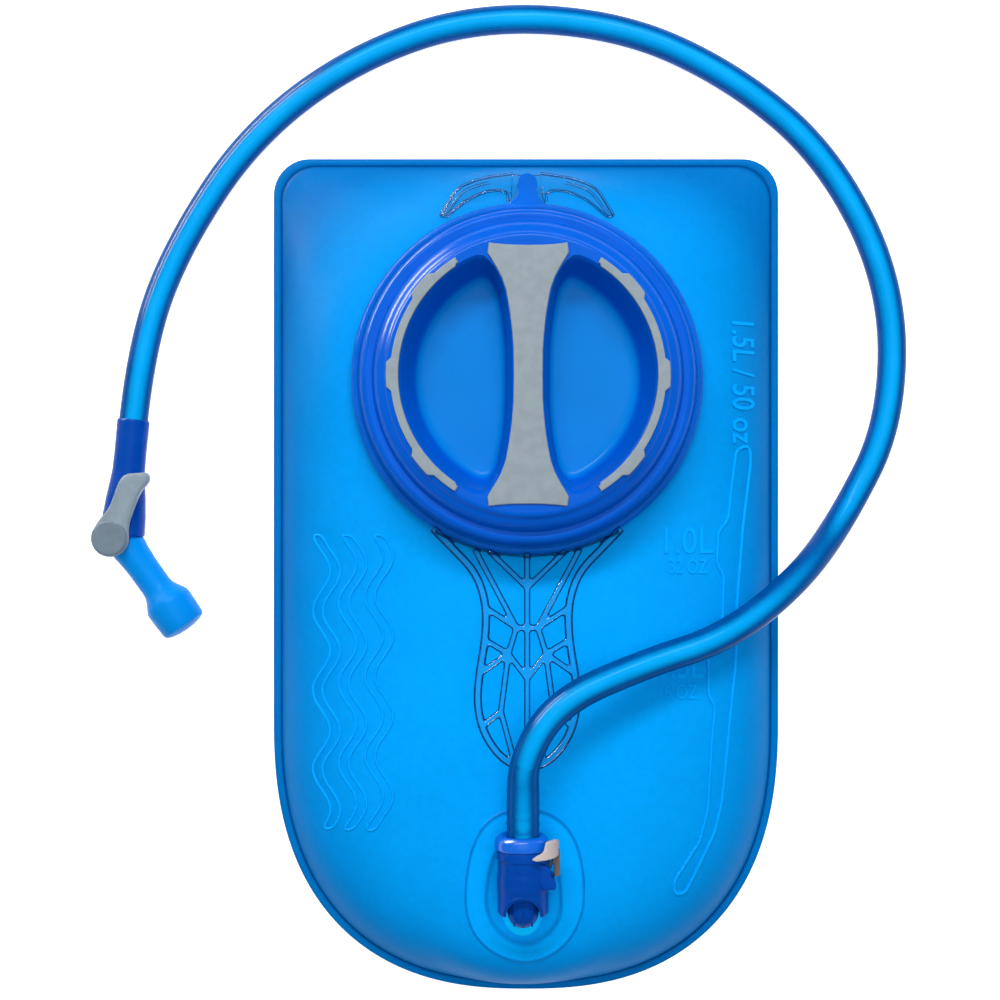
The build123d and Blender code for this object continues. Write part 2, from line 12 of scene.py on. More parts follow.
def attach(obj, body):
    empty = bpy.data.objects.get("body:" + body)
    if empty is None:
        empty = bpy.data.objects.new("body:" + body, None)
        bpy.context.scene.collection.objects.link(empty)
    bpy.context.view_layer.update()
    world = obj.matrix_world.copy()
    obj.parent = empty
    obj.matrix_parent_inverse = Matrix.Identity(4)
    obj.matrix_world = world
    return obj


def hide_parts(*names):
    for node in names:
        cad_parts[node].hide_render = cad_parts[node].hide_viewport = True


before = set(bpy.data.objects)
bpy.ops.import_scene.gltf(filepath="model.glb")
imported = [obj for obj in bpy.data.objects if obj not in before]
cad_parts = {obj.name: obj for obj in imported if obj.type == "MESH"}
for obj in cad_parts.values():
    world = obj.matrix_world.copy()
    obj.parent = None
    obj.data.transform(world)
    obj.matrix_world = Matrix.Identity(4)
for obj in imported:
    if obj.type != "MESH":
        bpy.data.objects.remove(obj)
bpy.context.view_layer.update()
scene = bpy.context.scene
MM = 0.001


# ---- camera ------------------------------------------------------------------
camera_data = bpy.data.cameras.new("camera")
camera_data.lens = 56.06
camera_data.sensor_width = 36.0
camera = bpy.data.objects.new("camera", camera_data)
camera.location = (-0.0091, 0.0259, 0.557)
scene.collection.objects.link(camera)
scene.camera = camera
scene.view_settings.view_transform = "Standard"


# ---- sizes shared with the CAD -------------------------------------------------
HALF_WIDTH = 88.0
HALF_LENGTH = 145.0
CORNER_R = 12.0
TAIL_LENGTH = 94.5
TAIL_POWER = 2.45
TAIL_Y = TAIL_LENGTH - HALF_LENGTH
RIM = 3.0
CAP_Y = 66.5
PORT_TOP_Z = 30.0
LINK_X = -1.5
LINK_Z = 43.4
TUBE_R = 5.0
BORE_R = 3.8
OUTLET_Y = -109.9
HUB = Vector((-144.5, 13.2, 8.4))
ELBOW = HUB + Vector((2.3, 0, 0))
TUBE_ROUTE = [
    (-1.5, -91, 43.4), (-1.5, -75, 43.4), (-1.5, -58.5, 48), (10, -40, 48.5),
    (38, -28.5, 42.5), (66, -20, 39), (92, -2, 27), (112, 19, 6),
    (129.6, 53.5, 5.3), (129.9, 102.5, 5.2), (107, 148, 5.3), (73, 176.5, 5.2),
    (33, 194.5, 5.3), (-18, 197.5, 5.2), (-62, 182, 5.3), (-98, 154.5, 5.2),
    (-123.2, 116, 5.3), (-135.1, 82, 8.4), (-138.2, 54, 8.4),
]


# ---- mesh helpers --------------------------------------------------------------
def add_piece(name, mesh, body, material, sharp=35.0):
    """Put a mesh in the scene as a piece on a body, smooth but for edges sharper than an angle."""
    piece = bpy.data.objects.new(name, mesh)
    scene.collection.objects.link(piece)
    if isinstance(mesh, bpy.types.Mesh):
        mesh.shade_smooth()
        mesh.set_sharp_from_angle(angle=math.radians(sharp))
    mesh.materials.clear()
    mesh.materials.append(material)
    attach(piece, body)
    return piece


def mesh_of(name, points, faces):
    """A mesh from points in millimetres, with its faces turned outwards."""
    mesh = bpy.data.meshes.new(name)
    mesh.from_pydata([[c * MM for c in p] for p in points], [], faces)
    work = bmesh.new()
    work.from_mesh(mesh)
    bmesh.ops.remove_doubles(work, verts=work.verts, dist=0.00002)
    bmesh.ops.recalc_face_normals(work, faces=work.faces)
    work.to_mesh(mesh)
    work.free()
    return mesh


def bands(rings, count, base=0):
    """Faces between closed rings of points that follow each other from a first index."""
    faces = []
    for r in range(rings - 1):
        here, ahead = base + r * count, base + (r + 1) * count
        for i in range(count):
            j = (i + 1) % count
            faces.append((here + i, here + j, ahead + j, ahead + i))
    return faces


def lid(ring, count, base=0):
    """The face that closes one of those rings."""
    return tuple(range(base + ring * count, base + (ring + 1) * count))


def sheet_of(name, points, faces, **attributes):
    """A sheet of film from points in millimetres, which carry named values for its material."""
    mesh = bpy.data.meshes.new(name)
    mesh.from_pydata([[c * MM for c in p] for p in points], [], faces)
    for label, values in attributes.items():
        attribute = mesh.attributes.new(label, "FLOAT", "POINT")
        for i, value in enumerate(values):
            attribute.data[i].value = value
    return mesh


def lathe(name, profile, centre, axis=(0, 0, 1), segments=96):
    """Turn a profile of (distance along the axis, radius) points about an axis through centre."""
    along = Vector(axis).normalized()
    side = along.orthogonal().normalized()
    other = along.cross(side)
    count = len(profile)
    points = []
    for step in range(segments):
        angle = 2 * math.pi * step / segments
        out = side * math.cos(angle) + other * math.sin(angle)
        points += [Vector(centre) + along * d + out * r for d, r in profile]
    faces = []
    for step in range(segments):
        here, ahead = step * count, (step + 1) % segments * count
        for i in range(count):
            j = (i + 1) % count
            faces.append((here + i, here + j, ahead + j, ahead + i))
    return mesh_of(name, points, faces)


def rounded(profile, radius, steps=4):
    """The same closed profile with its corners rounded."""
    result = []
    count = len(profile)
    for i, corner in enumerate(profile):
        corner = Vector(corner)
        back = Vector(profile[i - 1]) - corner
        front = Vector(profile[(i + 1) % count]) - corner
        reach = min(radius, back.length * 0.45, front.length * 0.45)
        start = corner + back.normalized() * reach
        end = corner + front.normalized() * reach
        for step in range(steps + 1):
            t = step / steps
            result.append(tuple(start * (1 - t) ** 2 + corner * 2 * t * (1 - t) + end * t * t))
    return result


def slab(name, outline, low, high, bevel=0.4, segments=3):
    """An upright plate on a plan outline, with its edges rounded."""
    mesh = bpy.data.meshes.new(name)
    work = bmesh.new()
    corners = [work.verts.new((x * MM, y * MM, low * MM)) for x, y in outline]
    base = work.faces.new(corners)
    grown = bmesh.ops.extrude_face_region(work, geom=[base])
    top = [v for v in grown["geom"] if isinstance(v, bmesh.types.BMVert)]
    bmesh.ops.translate(work, verts=top, vec=(0, 0, (high - low) * MM))
    bmesh.ops.recalc_face_normals(work, faces=work.faces)
    edges = [e for e in work.edges if abs(e.verts[0].co.z - e.verts[1].co.z) < MM * 0.01]
    bmesh.ops.bevel(
        work, geom=edges, offset=bevel * MM, segments=segments, profile=0.6, affect="EDGES"
    )
    work.to_mesh(mesh)
    work.free()
    return mesh


def curve_of(name, splines, radius, closed=False, smooth=True, caps=True):
    """A round bead along one or more lists of points in millimetres."""
    curve = bpy.data.curves.new(name, "CURVE")
    curve.dimensions = "3D"
    curve.bevel_depth = radius * MM
    curve.bevel_resolution = 4
    curve.resolution_u = 8
    curve.use_fill_caps = caps
    for points in splines:
        spline = curve.splines.new("NURBS" if smooth else "POLY")
        spline.points.add(len(points) - 1)
        for knot, point in zip(spline.points, points):
            knot.co = (*[c * MM for c in point], 1)
        spline.use_cyclic_u = closed
        if smooth:
            spline.order_u = 3
            spline.use_endpoint_u = not closed
    return curve


def baked(source, *modifiers):
    """A mesh of a curve or mesh datablock with modifiers applied: (type, settings) pairs."""
    holder = bpy.data.objects.new("bake", source)
    scene.collection.objects.link(holder)
    for kind, settings in modifiers:
        modifier = holder.modifiers.new(kind, kind)
        for key, value in settings.items():
            setattr(modifier, key, value)
    depsgraph = bpy.context.evaluated_depsgraph_get()
    mesh = bpy.data.meshes.new_from_object(holder.evaluated_get(depsgraph))
    bpy.data.objects.remove(holder)
    return mesh


def cutters_of(*meshes):
    """Modifiers for baked() that take meshes away."""
    found = []
    for mesh in meshes:
        cutter = bpy.data.objects.new("cutter", mesh)
        scene.collection.objects.link(cutter)
        found.append(("BOOLEAN", {"object": cutter, "operation": "DIFFERENCE", "solver": "EXACT"}))
    return found


def drop(cutters):
    """Take used cutters out of the scene."""
    for _, settings in cutters:
        bpy.data.objects.remove(settings["object"])


def fused(mesh, voxel, rounds):
    """Crossing parts grown into one skin and smoothed."""
    return baked(
        mesh,
        ("REMESH", {"mode": "VOXEL", "voxel_size": voxel, "use_smooth_shade": True}),
        ("SMOOTH", {"factor": 0.5, "iterations": rounds}),
    )


def joined(name, meshes):
    """One mesh from several."""
    work = bmesh.new()
    for mesh in meshes:
        work.from_mesh(mesh)
    result = bpy.data.meshes.new(name)
    work.to_mesh(result)
    work.free()
    return result


def smooth_step(low, high, value):
    """0 below one value, 1 above another, and an S curve between."""
    t = max(0.0, min(1.0, (value - low) / (high - low)))
    return t * t * (3 - 2 * t)


def between(table, value):
    """Straight-line reading of a table of (input, output) rows."""
    for (a, fa), (b, fb) in zip(table, table[1:]):
        if value <= b:
            return fa + (fb - fa) * (value - a) / (b - a)
    return table[-1][1]


# ---- materials -----------------------------------------------------------------
def srgb(red, green, blue):
    """A linear colour from 0-255 display values."""
    linear = []
    for value in (red, green, blue):
        v = value / 255
        linear.append(v / 12.92 if v <= 0.04045 else ((v + 0.055) / 1.055) ** 2.4)
    return (*linear, 1.0)


class Finish:
    """A Principled material with noise in its colour, gloss and surface."""

    def __init__(self, name, colour, rough, shine=0.3):
        self.material = bpy.data.materials.new(name)
        self.material.use_nodes = True
        self.tree = self.material.node_tree
        self.shader = self.tree.nodes["Principled BSDF"]
        self.shader.inputs["Base Color"].default_value = colour
        self.shader.inputs["Roughness"].default_value = rough
        self.shader.inputs["IOR"].default_value = 1.46
        self.shader.inputs["Specular IOR Level"].default_value = shine
        self.colour = colour
        self.rough = rough
        self.place = self.node("ShaderNodeTexCoord").outputs["Object"]

    def node(self, kind, **settings):
        """A new node with its settings."""
        node = self.tree.nodes.new(kind)
        for key, value in settings.items():
            setattr(node, key, value)
        return node

    def join(self, source, target):
        self.tree.links.new(source, target)

    def noise(self, scale, detail=3.0):
        """Noise over the piece's own coordinates."""
        node = self.node("ShaderNodeTexNoise")
        node.inputs["Scale"].default_value = scale
        node.inputs["Detail"].default_value = detail
        self.join(self.place, node.inputs["Vector"])
        return node.outputs["Fac"]

    def mix(self, factor, low, high):
        """A blend of two colours, each a value or a socket."""
        node = self.node("ShaderNodeMix", data_type="RGBA")
        self.join(factor, node.inputs["Factor"])
        for socket, value in ((node.inputs[6], low), (node.inputs[7], high)):
            if isinstance(value, tuple):
                socket.default_value = value
            else:
                self.join(value, socket)
        return node.outputs[2]

    def ramp(self, factor, low, high, bottom=0.0, top=1.0):
        """A smooth reading of a socket between two of its values."""
        node = self.node("ShaderNodeMapRange", interpolation_type="SMOOTHSTEP")
        node.inputs["From Min"].default_value = low
        node.inputs["From Max"].default_value = high
        node.inputs["To Min"].default_value = bottom
        node.inputs["To Max"].default_value = top
        self.join(factor, node.inputs["Value"])
        return node.outputs["Result"]

    def cloud(self, scale, amount, colour=None):
        """Soft colour variation, darker and lighter by an amount."""
        base = self.colour if colour is None else colour
        factor = self.ramp(self.noise(scale), 0.3, 0.7)
        if isinstance(base, tuple):
            dark = (*[c * (1 - amount) for c in base[:3]], 1.0)
            light = (*[min(1.0, c * (1 + amount) + amount * 0.01) for c in base[:3]], 1.0)
            return self.mix(factor, dark, light)
        shade = self.mix(factor, (1 - amount,) * 3 + (1.0,), (1.0, 1.0, 1.0, 1.0))
        node = self.node("ShaderNodeMix", data_type="RGBA", blend_type="MULTIPLY")
        node.inputs["Factor"].default_value = 1.0
        self.join(base, node.inputs[6])
        self.join(shade, node.inputs[7])
        return node.outputs[2]

    def paint(self, colour):
        self.join(colour, self.shader.inputs["Base Color"])

    def gloss(self, scale, spread):
        """Roughness that wanders about its mean."""
        low, high = self.rough - spread, self.rough + spread
        rough = self.ramp(self.noise(scale), 0.3, 0.7, low, high)
        self.join(rough, self.shader.inputs["Roughness"])

    def grain(self, scale, height, detail=2.0):
        """Surface grain of a height in metres."""
        bump = self.node("ShaderNodeBump")
        bump.inputs["Distance"].default_value = height
        bump.inputs["Strength"].default_value = 1.0
        self.join(self.noise(scale, detail), bump.inputs["Height"])
        self.join(bump.outputs["Normal"], self.shader.inputs["Normal"])

    def attribute(self, name):
        """A value that the mesh's points carry."""
        return self.node("ShaderNodeAttribute", attribute_name=name).outputs["Fac"]


def moulded(name, colour, rough, patch=0.08, shine=0.07, painted_glow=None):
    """Moulded plastic: slight clouding, uneven gloss, a fine grain, perhaps a painted glow for
    light let through.
    """
    finish = Finish(name, colour, rough, shine=shine)
    finish.paint(finish.cloud(60.0, patch))
    finish.gloss(140.0, min(0.06, rough * 0.3))
    finish.grain(900.0, 0.00002)
    if painted_glow:
        # painted glow: emission standing in for light that comes through the part
        colour, strength = painted_glow
        finish.shader.inputs["Emission Color"].default_value = colour
        finish.shader.inputs["Emission Strength"].default_value = strength
    return finish.material


def film_material():
    """Blue film: bright over the full belly of the bag, deeper where it falls to the weld, as
    painted shade for the curve of the filled bag.
    """
    finish = Finish("bag_film", srgb(0, 160, 248), 0.42, shine=0.03)
    deep = finish.mix(finish.attribute("weld"), srgb(0, 112, 190), srgb(0, 82, 156))
    # painted shade: the film's colour deepens from the bright belly towards the weld
    colour = finish.mix(finish.attribute("depth"), srgb(0, 166, 254), deep)
    finish.paint(finish.cloud(420.0, 0.05, finish.cloud(26.0, 0.06, colour)))
    finish.gloss(50.0, 0.06)
    finish.grain(700.0, 0.00005, 4.0)
    return finish.material


def cap_material():
    """Cap plastic, with the thin pocket floors lighter because light comes through them."""
    finish = Finish("rigid_blue", srgb(0, 90, 204), 0.22, shine=0.1)
    colour = finish.mix(finish.attribute("floor"), srgb(0, 90, 204), srgb(0, 122, 206))
    finish.paint(finish.cloud(45.0, 0.07, colour))
    finish.gloss(120.0, 0.04)
    finish.grain(600.0, 0.00002)
    return finish.material


def rubber(name, colour, rough):
    """Matt rubber with a fine even grain."""
    finish = Finish(name, colour, rough, shine=0.12)
    finish.paint(finish.cloud(300.0, 0.05))
    finish.gloss(200.0, 0.06)
    finish.grain(1500.0, 0.00004)
    return finish.material


def brushed_steel():
    """Spring and latch steel."""
    finish = Finish("steel", srgb(190, 192, 196), 0.3)
    finish.shader.inputs["Metallic"].default_value = 1.0
    finish.paint(finish.cloud(500.0, 0.1))
    finish.gloss(900.0, 0.1)
    return finish.material


def clear_material():
    """Clear plastic: seen through where it faces the eye, dark where it turns away, with glints."""
    finish = Finish("clear_blue", srgb(0, 34, 100), 0.1, shine=0.1)
    weight = finish.node("ShaderNodeLayerWeight")
    weight.inputs["Blend"].default_value = 0.5
    opacity = finish.ramp(weight.outputs["Facing"], 0.08, 0.34, 0.03, 0.85)
    finish.join(opacity, finish.shader.inputs["Alpha"])
    finish.paint(finish.cloud(80.0, 0.1))
    finish.gloss(200.0, 0.03)
    gloss = finish.node("ShaderNodeBsdfAnisotropic")
    gloss.inputs["Roughness"].default_value = 0.14
    blend = finish.node("ShaderNodeMixShader")
    blend.inputs["Fac"].default_value = 0.022
    finish.join(finish.shader.outputs["BSDF"], blend.inputs[1])
    finish.join(gloss.outputs["BSDF"], blend.inputs[2])
    finish.join(blend.outputs["Shader"], finish.tree.nodes["Material Output"].inputs["Surface"])
    return finish.material


def clear_plate_material():
    """The clear ring about the neck: a thin even tint."""
    finish = Finish("clear_plate", srgb(0, 120, 200), 0.12, shine=0.3)
    finish.shader.inputs["Alpha"].default_value = 0.3
    finish.paint(finish.cloud(80.0, 0.1))
    finish.gloss(200.0, 0.03)
    return finish.material


def tube_material():
    """The tube's wall: seen through at its crown, deep blue towards its sides."""
    finish = Finish("tube_wall", srgb(0, 78, 150), 0.16, shine=0.05)
    weight = finish.node("ShaderNodeLayerWeight")
    weight.inputs["Blend"].default_value = 0.5
    opacity = finish.ramp(weight.outputs["Facing"], 0.02, 0.34, 0.05, 1.0)
    finish.join(opacity, finish.shader.inputs["Alpha"])
    finish.paint(finish.cloud(90.0, 0.08))
    finish.gloss(60.0, 0.04)
    finish.grain(500.0, 0.00002)
    return finish.material


FILM = film_material()
CAP_BLUE = cap_material()
DEEP_BLUE = moulded("deep_blue", srgb(0, 66, 160), 0.26)
MID_BLUE = moulded("mid_blue", srgb(0, 96, 200), 0.24)
COLLAR_BLUE = moulded("collar_blue", srgb(0, 98, 212), 0.2, shine=0.6)
CLEAR = clear_material()
CLEAR_PLATE = clear_plate_material()
GREY = rubber("grip_grey", srgb(138, 150, 158), 0.5)
LEVER_GREY = rubber("lever_grey", srgb(134, 150, 162), 0.42)
HUB_GREY = rubber("hub_grey", srgb(108, 124, 138), 0.42)
SEAL = rubber("seal_rubber", srgb(34, 36, 40), 0.55)
SILICONE = moulded("bite_silicone", srgb(0, 134, 222), 0.3, 0.05)
TUBE_WALL = tube_material()
TUBE_CORE = moulded("tube_core", srgb(0, 172, 240), 0.22, 0.05)
STEEL = brushed_steel()
BUTTON = moulded("button_grey", srgb(190, 180, 176), 0.45)
# a darker copy of the button's grey: painted shade for the leg, low under the button's head
BUTTON_LEG_SHADED = moulded("button_leg", srgb(112, 98, 94), 0.5)
HOSE_TAIL = moulded("hose_tail", srgb(0, 138, 208), 0.3)
# cyan of its own, painted brighter and given a glow for light that comes through the boss
PORT_CYAN_PAINTED_GLOW = moulded("port_cyan", srgb(0, 190, 255), 0.3, 0.05, painted_glow=(srgb(0, 170, 255), 0.25))
NECK_BLUE = moulded("neck_blue", srgb(0, 96, 190), 0.3)

KEPT = {
    "port_neck": NECK_BLUE, "exit_port": DEEP_BLUE, "port_retainer": NECK_BLUE, "port_oring": SEAL,
    "cap_oring": SEAL, "poppet": BUTTON, "poppet_spring": STEEL, "latch_plate": STEEL,
    "button_spring": STEEL, "valve_spool": BUTTON, "spool_seals": SEAL, "lever_screw": STEEL,
}
for node, finish in KEPT.items():
    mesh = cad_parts[node].data
    for index in range(max(1, len(mesh.materials))):
        if mesh.materials:
            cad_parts[node].material_slots[index].material = finish
        else:
            mesh.materials.append(finish)


# ---- drink tube ----------------------------------------------------------------
tube_curve = curve_of("drink_tube_wall", [TUBE_ROUTE], TUBE_R, caps=False)
tube_curve.resolution_u = 24
tube_curve.bevel_resolution = 10
tube = add_piece("drink_tube_wall", baked(tube_curve), "hose", TUBE_WALL)
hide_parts("drink_tube")
tube.visible_shadow = False
tube_curve.bevel_depth = BORE_R * MM
core = add_piece("drink_tube_bore", baked(tube_curve), "hose", TUBE_CORE)
tube_curve.bevel_depth = 0
tube_line = [tuple(v.co) for v in baked(tube_curve).vertices]

# the tube is stretched and rippled where it goes over the barbs of the link
STRETCH_R = 5.5
near_port = [tuple(c / MM for c in p) for p in tube_line if p[1] < -0.060 and abs(p[0]) < 0.003]
stretch_curve = curve_of("stretch", [near_port], STRETCH_R, smooth=False, caps=False)
stretch_curve.bevel_resolution = 10
for knot, (x, y, z) in zip(stretch_curve.splines[0].points, near_port):
    ripple = 0.12 * math.sin(2 * math.pi * y / 3.4) * smooth_step(-74, -77, y)
    knot.radius = (5.06 + 0.36 * (1 - smooth_step(-72, -61, y)) + ripple) / STRETCH_R
stretch = add_piece("tube_stretch", baked(stretch_curve), "hose", TUBE_WALL)
stretch.visible_shadow = False


# ---- bag -----------------------------------------------------------------------
def bag_outline(inset):
    """Points round the bag, drawn in from the cut edge; the same count for any inset."""
    half = HALF_WIDTH - inset
    tail = TAIL_LENGTH - inset
    head = HALF_LENGTH - inset
    side = head - CORNER_R
    points = []
    for i in range(161):
        angle = math.pi * i / 160
        reach = abs(math.cos(angle)) ** (2 / TAIL_POWER)
        drop = math.sin(angle) ** (2 / TAIL_POWER)
        points.append((math.copysign(half * reach, math.cos(angle)), TAIL_Y - tail * drop))
    points += [(-half, TAIL_Y + (side - TAIL_Y) * i / 60) for i in range(1, 60)]
    for i in range(15):
        angle = math.radians(180 - 90 * i / 14)
        x, y = CORNER_R * math.cos(angle), CORNER_R * math.sin(angle)
        points.append((-half + CORNER_R + x, side + y))
    span = half - CORNER_R
    points += [(-span + 2 * span * i / 50, head) for i in range(1, 50)]
    for i in range(15):
        angle = math.radians(90 - 90 * i / 14)
        x, y = CORNER_R * math.cos(angle), CORNER_R * math.sin(angle)
        points.append((half - CORNER_R + x, side + y))
    points += [(half, side + (TAIL_Y - side) * i / 60) for i in range(1, 60)]
    return points


INNER_WIDTH = 85.4
INNER_HEAD = 192.6
INNER_TAIL = 91.9
SHADE_REACH = 23.0
WELD_Z = 12.9
SWELL = 17.1
BACK_Z = 0.02
BACK_RISE = 11.1
FILM_THICK = 0.5


def fullness(x, y):
    """How far in from the weld a point is: 0 at the weld, 1 over the middle."""
    across = (abs(x) / INNER_WIDTH) ** TAIL_POWER
    if y > TAIL_Y:
        full = (1 - across) * (1 - (max(0.0, y - TAIL_Y) / INNER_HEAD) ** 4)
    else:
        full = 1 - across - ((TAIL_Y - y) / INNER_TAIL) ** TAIL_POWER
    return max(0.0, full)


def painted_edge_shade(x, y):
    """How much painted shade deepens the film's colour: 1 at the weld, fading over some 20 mm."""
    if y < TAIL_Y:
        share = (abs(x) / HALF_WIDTH) ** TAIL_POWER + ((TAIL_Y - y) / TAIL_LENGTH) ** TAIL_POWER
        return min(1.0, math.exp(-90.0 * (1 - min(1.0, share) ** (1 / TAIL_POWER)) / 24.0))
    sides = math.exp(-(HALF_WIDTH - abs(x)) / SHADE_REACH)
    return min(1.0, sides + math.exp(-(HALF_LENGTH - y) / SHADE_REACH))


def front_height(x, y):
    """Height of the filled bag's upper film."""
    full = fullness(x, y)
    height = WELD_Z + SWELL * (1 - (1 - full) ** 4.0)
    height += 0.5 * noise.noise((x / 34, y / 34, 2.0)) * smooth_step(0.05, 0.4, full)
    by_cap = 1 - smooth_step(60, 78, math.hypot(x, y - CAP_Y))
    by_port = 1 - smooth_step(22, 42, math.hypot(x - LINK_X, y + 106.0))
    return height + (PORT_TOP_Z - height) * max(by_cap, by_port)


def back_height(x, y):
    """Height of the lower film, flat on the table but for its edge."""
    return BACK_Z + BACK_RISE * (1 - fullness(x, y)) ** 8


EDGE_RINGS = [0.0, 0.35, 1.2, 2.1, 2.5, 2.8, 3.2, 3.8, 4.8, 6.2, 8.0, 10.2, 13.0, 16.5, 20.5]
SHRINK = [0.93, 0.86, 0.79, 0.72, 0.65, 0.58, 0.51, 0.44, 0.37, 0.3, 0.23, 0.16, 0.09, 0.03]


def bag_sheet(name, height, rim_z, edge_z, groove):
    """One film of the bag as rings of points from the cut edge to the middle."""
    rings, welds = [], []
    for inset in EDGE_RINGS:
        ring = []
        for x, y in bag_outline(inset):
            if inset < RIM:
                z = edge_z if inset == 0 else rim_z
                z -= groove if 2.3 < inset < 2.7 else 0
            else:
                z = height(x, y)
            ring.append((x, y, z))
        rings.append(ring)
        welds.append({2.1: 0.3, 2.5: 1.0, 2.8: 0.7, 3.2: 0.25}.get(inset, 0.0))
    for share in SHRINK:
        ring = []
        for x, y in bag_outline(EDGE_RINGS[-1]):
            foot = y * 0.55
            place = (x * share, foot + (y - foot) * share)
            ring.append((*place, height(*place)))
        rings.append(ring)
        welds.append(0.0)
    count = len(rings[0])
    points = [p for ring in rings for p in ring]
    faces = bands(len(rings), count) + [lid(len(rings) - 1, count)]
    weld = [value for value in welds for _ in range(count)]
    # painted shade towards the weld, never lighter than the weld line's own darker colour
    depth = [max(value, painted_edge_shade(x, y)) for value, (x, y, z) in zip(weld, points)]
    return sheet_of(name, points, faces, weld=weld, depth=depth)


def cut_hole(mesh, x, y, radius):
    """Take out the faces round an upright opening."""
    work = bmesh.new()
    work.from_mesh(mesh)
    gone = [
        f for f in work.faces
        if math.hypot(f.calc_center_median().x / MM - x, f.calc_center_median().y / MM - y) < radius
    ]
    bmesh.ops.delete(work, geom=gone, context="FACES")
    bmesh.ops.recalc_face_normals(work, faces=work.faces)
    work.to_mesh(mesh)
    work.free()


skin = ("SOLIDIFY", {"thickness": FILM_THICK * MM, "offset": -1.0})
front = bag_sheet("front_sheet", front_height, 12.85, 12.5, 0.45)
cut_hole(front, 0, CAP_Y, 47.0)
bag_front = add_piece("bag_front", baked(front, skin), "reservoir", FILM, 50)
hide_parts("front_film")
back = bag_sheet("back_sheet", back_height, 11.2, 11.6, -0.3)
back.flip_normals()
bag_back = add_piece("bag_back", baked(back, skin), "reservoir", FILM, 50)
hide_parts("back_film")


def on_film(points, lift):
    """Plan points laid a little over the upper film."""
    return [(x, y, front_height(x, y) + lift) for x, y in points]


def dense(points, step=4.0):
    """More points along a closed line's straight runs, so that a bead follows the film under it."""
    ends = points[1:] + points[:1]
    result = []
    for (ax, ay), (bx, by) in zip(points, ends):
        parts = max(1, round(math.hypot(bx - ax, by - ay) / step))
        result += [(ax + (bx - ax) * i / parts, ay + (by - ay) * i / parts) for i in range(parts)]
    return result


GAUGE = [
    (74.6, 44.5), (71.2, 42.5), (70.4, 36), (69.2, 27.9), (68.4, 19), (64.9, 15.2), (64.4, 4.2),
    (66.9, 0.2), (66.3, -16.5), (62.3, -21.8), (61.4, -27), (61.5, -40.8), (63.8, -43.6),
    (62.5, -58), (61.4, -79.2), (58.6, -90), (49.8, -103.8), (50.4, -108.4), (54, -107.6),
    (63.8, -87), (66.2, -76.2), (68.6, -51.8), (70.9, -29.4), (71.6, -8.4), (73.6, 16.1),
    (76.6, 38), (76.6, 43),
]
gauge_line = on_film(dense(GAUGE), 0.05)
gauge_bead = baked(curve_of("gauge", [gauge_line], 0.55, closed=True))
add_piece("gauge_bead", gauge_bead, "reservoir", FILM)

WAVE_SWING = 3.4
WAVE_LENGTH = 27
WAVE_HALF = 1.7
waves = []
for lane in range(3):
    middle = -50.0 - 9.0 * lane
    edge = []
    for y in range(-86, 18, 4):
        edge.append((middle + WAVE_SWING * math.sin(2 * math.pi * y / WAVE_LENGTH + lane * 0.6), y))
    lane_points = [(x - WAVE_HALF, y) for x, y in edge]
    lane_points += [(x + WAVE_HALF, y) for x, y in edge[::-1]]
    waves.append(on_film(lane_points, 0.02))
wave_beads = baked(curve_of("waves", waves, 0.45, closed=True))
add_piece("wave_beads", wave_beads, "reservoir", FILM)


def embossed(name, words, centre, width, height, turn=0.0):
    """Plain volume numbers raised on the film."""
    text = bpy.data.curves.new(name, "FONT")
    text.body = words
    text.extrude = 0.05
    text.bevel_depth = 0.012
    mesh = baked(text)
    work = bmesh.new()
    work.from_mesh(mesh)
    left, right = (pick(v.co.x for v in work.verts) for pick in (min, max))
    foot, head = (pick(v.co.y for v in work.verts) for pick in (min, max))
    for _ in range(3):
        long = [e for e in work.edges if e.calc_length() * width / (right - left) > 2.5]
        bmesh.ops.subdivide_edges(work, edges=long, cuts=1)
    swing = math.radians(turn)
    for v in work.verts:
        x = ((v.co.x - left) / (right - left) - 0.5) * width
        y = ((v.co.y - foot) / (head - foot) - 0.5) * height
        px = centre[0] + x * math.cos(swing) - y * math.sin(swing)
        py = centre[1] + x * math.sin(swing) + y * math.cos(swing)
        lift = max(-0.3, min(0.38, v.co.z * 7.5))
        v.co = Vector((px, py, front_height(px, py) + lift)) * MM
    work.to_mesh(mesh)
    work.free()
    return add_piece(name, mesh, "reservoir", FILM)


embossed("mark_full", "1.5L / 50 oz", (74.1, 66.0), 41.7, 8.6, -90)
embossed("mark_two", "1.0L", (54.8, 12.3), 16.6, 9.0)
embossed("mark_two_oz", "32 OZ", (54.7, 3.5), 13.0, 5.0)
embossed("mark_one", "0.5L", (51.9, -30.0), 16.0, 9.0)
embossed("mark_one_oz", "16 OZ", (51.3, -38.9), 13.0, 5.0)


# ---- exit port's weld ----------------------------------------------------------
EGG = [
    (-1.0, -78.0), (-8.5, -79.2), (-14.8, -83.6), (-18.8, -91), (-20.8, -101), (-21.3, -111),
    (-19.5, -119), (-15, -125.2), (-8, -129.6), (0, -131.2), (8, -129), (14.6, -123.5),
    (18.8, -115.6), (19.9, -107), (19.2, -98), (16.9, -89), (12.4, -82.6), (6, -79.0),
]
RECESS = [
    (-1.0, -88.5), (-5.4, -89), (-9.2, -90.8), (-11.4, -94), (-13, -99.5), (-14, -105.5),
    (-14.3, -111), (-12.6, -117), (-9, -121.4), (-4.8, -124.2), (0.4, -125), (5, -123.2),
    (9.6, -119.4), (12, -114), (11.8, -106.5), (10.9, -99), (9, -92.5), (4.5, -89.4),
]


def smooth_loop(points, count=108):
    """An even closed curve near the given corners."""
    mesh = baked(curve_of("loop", [[(x, y, 0) for x, y in points]], 0, closed=True))
    loop = [tuple(v.co / MM)[:2] for v in mesh.vertices]
    step = len(loop) / count
    return [loop[int(i * step)] for i in range(count)]


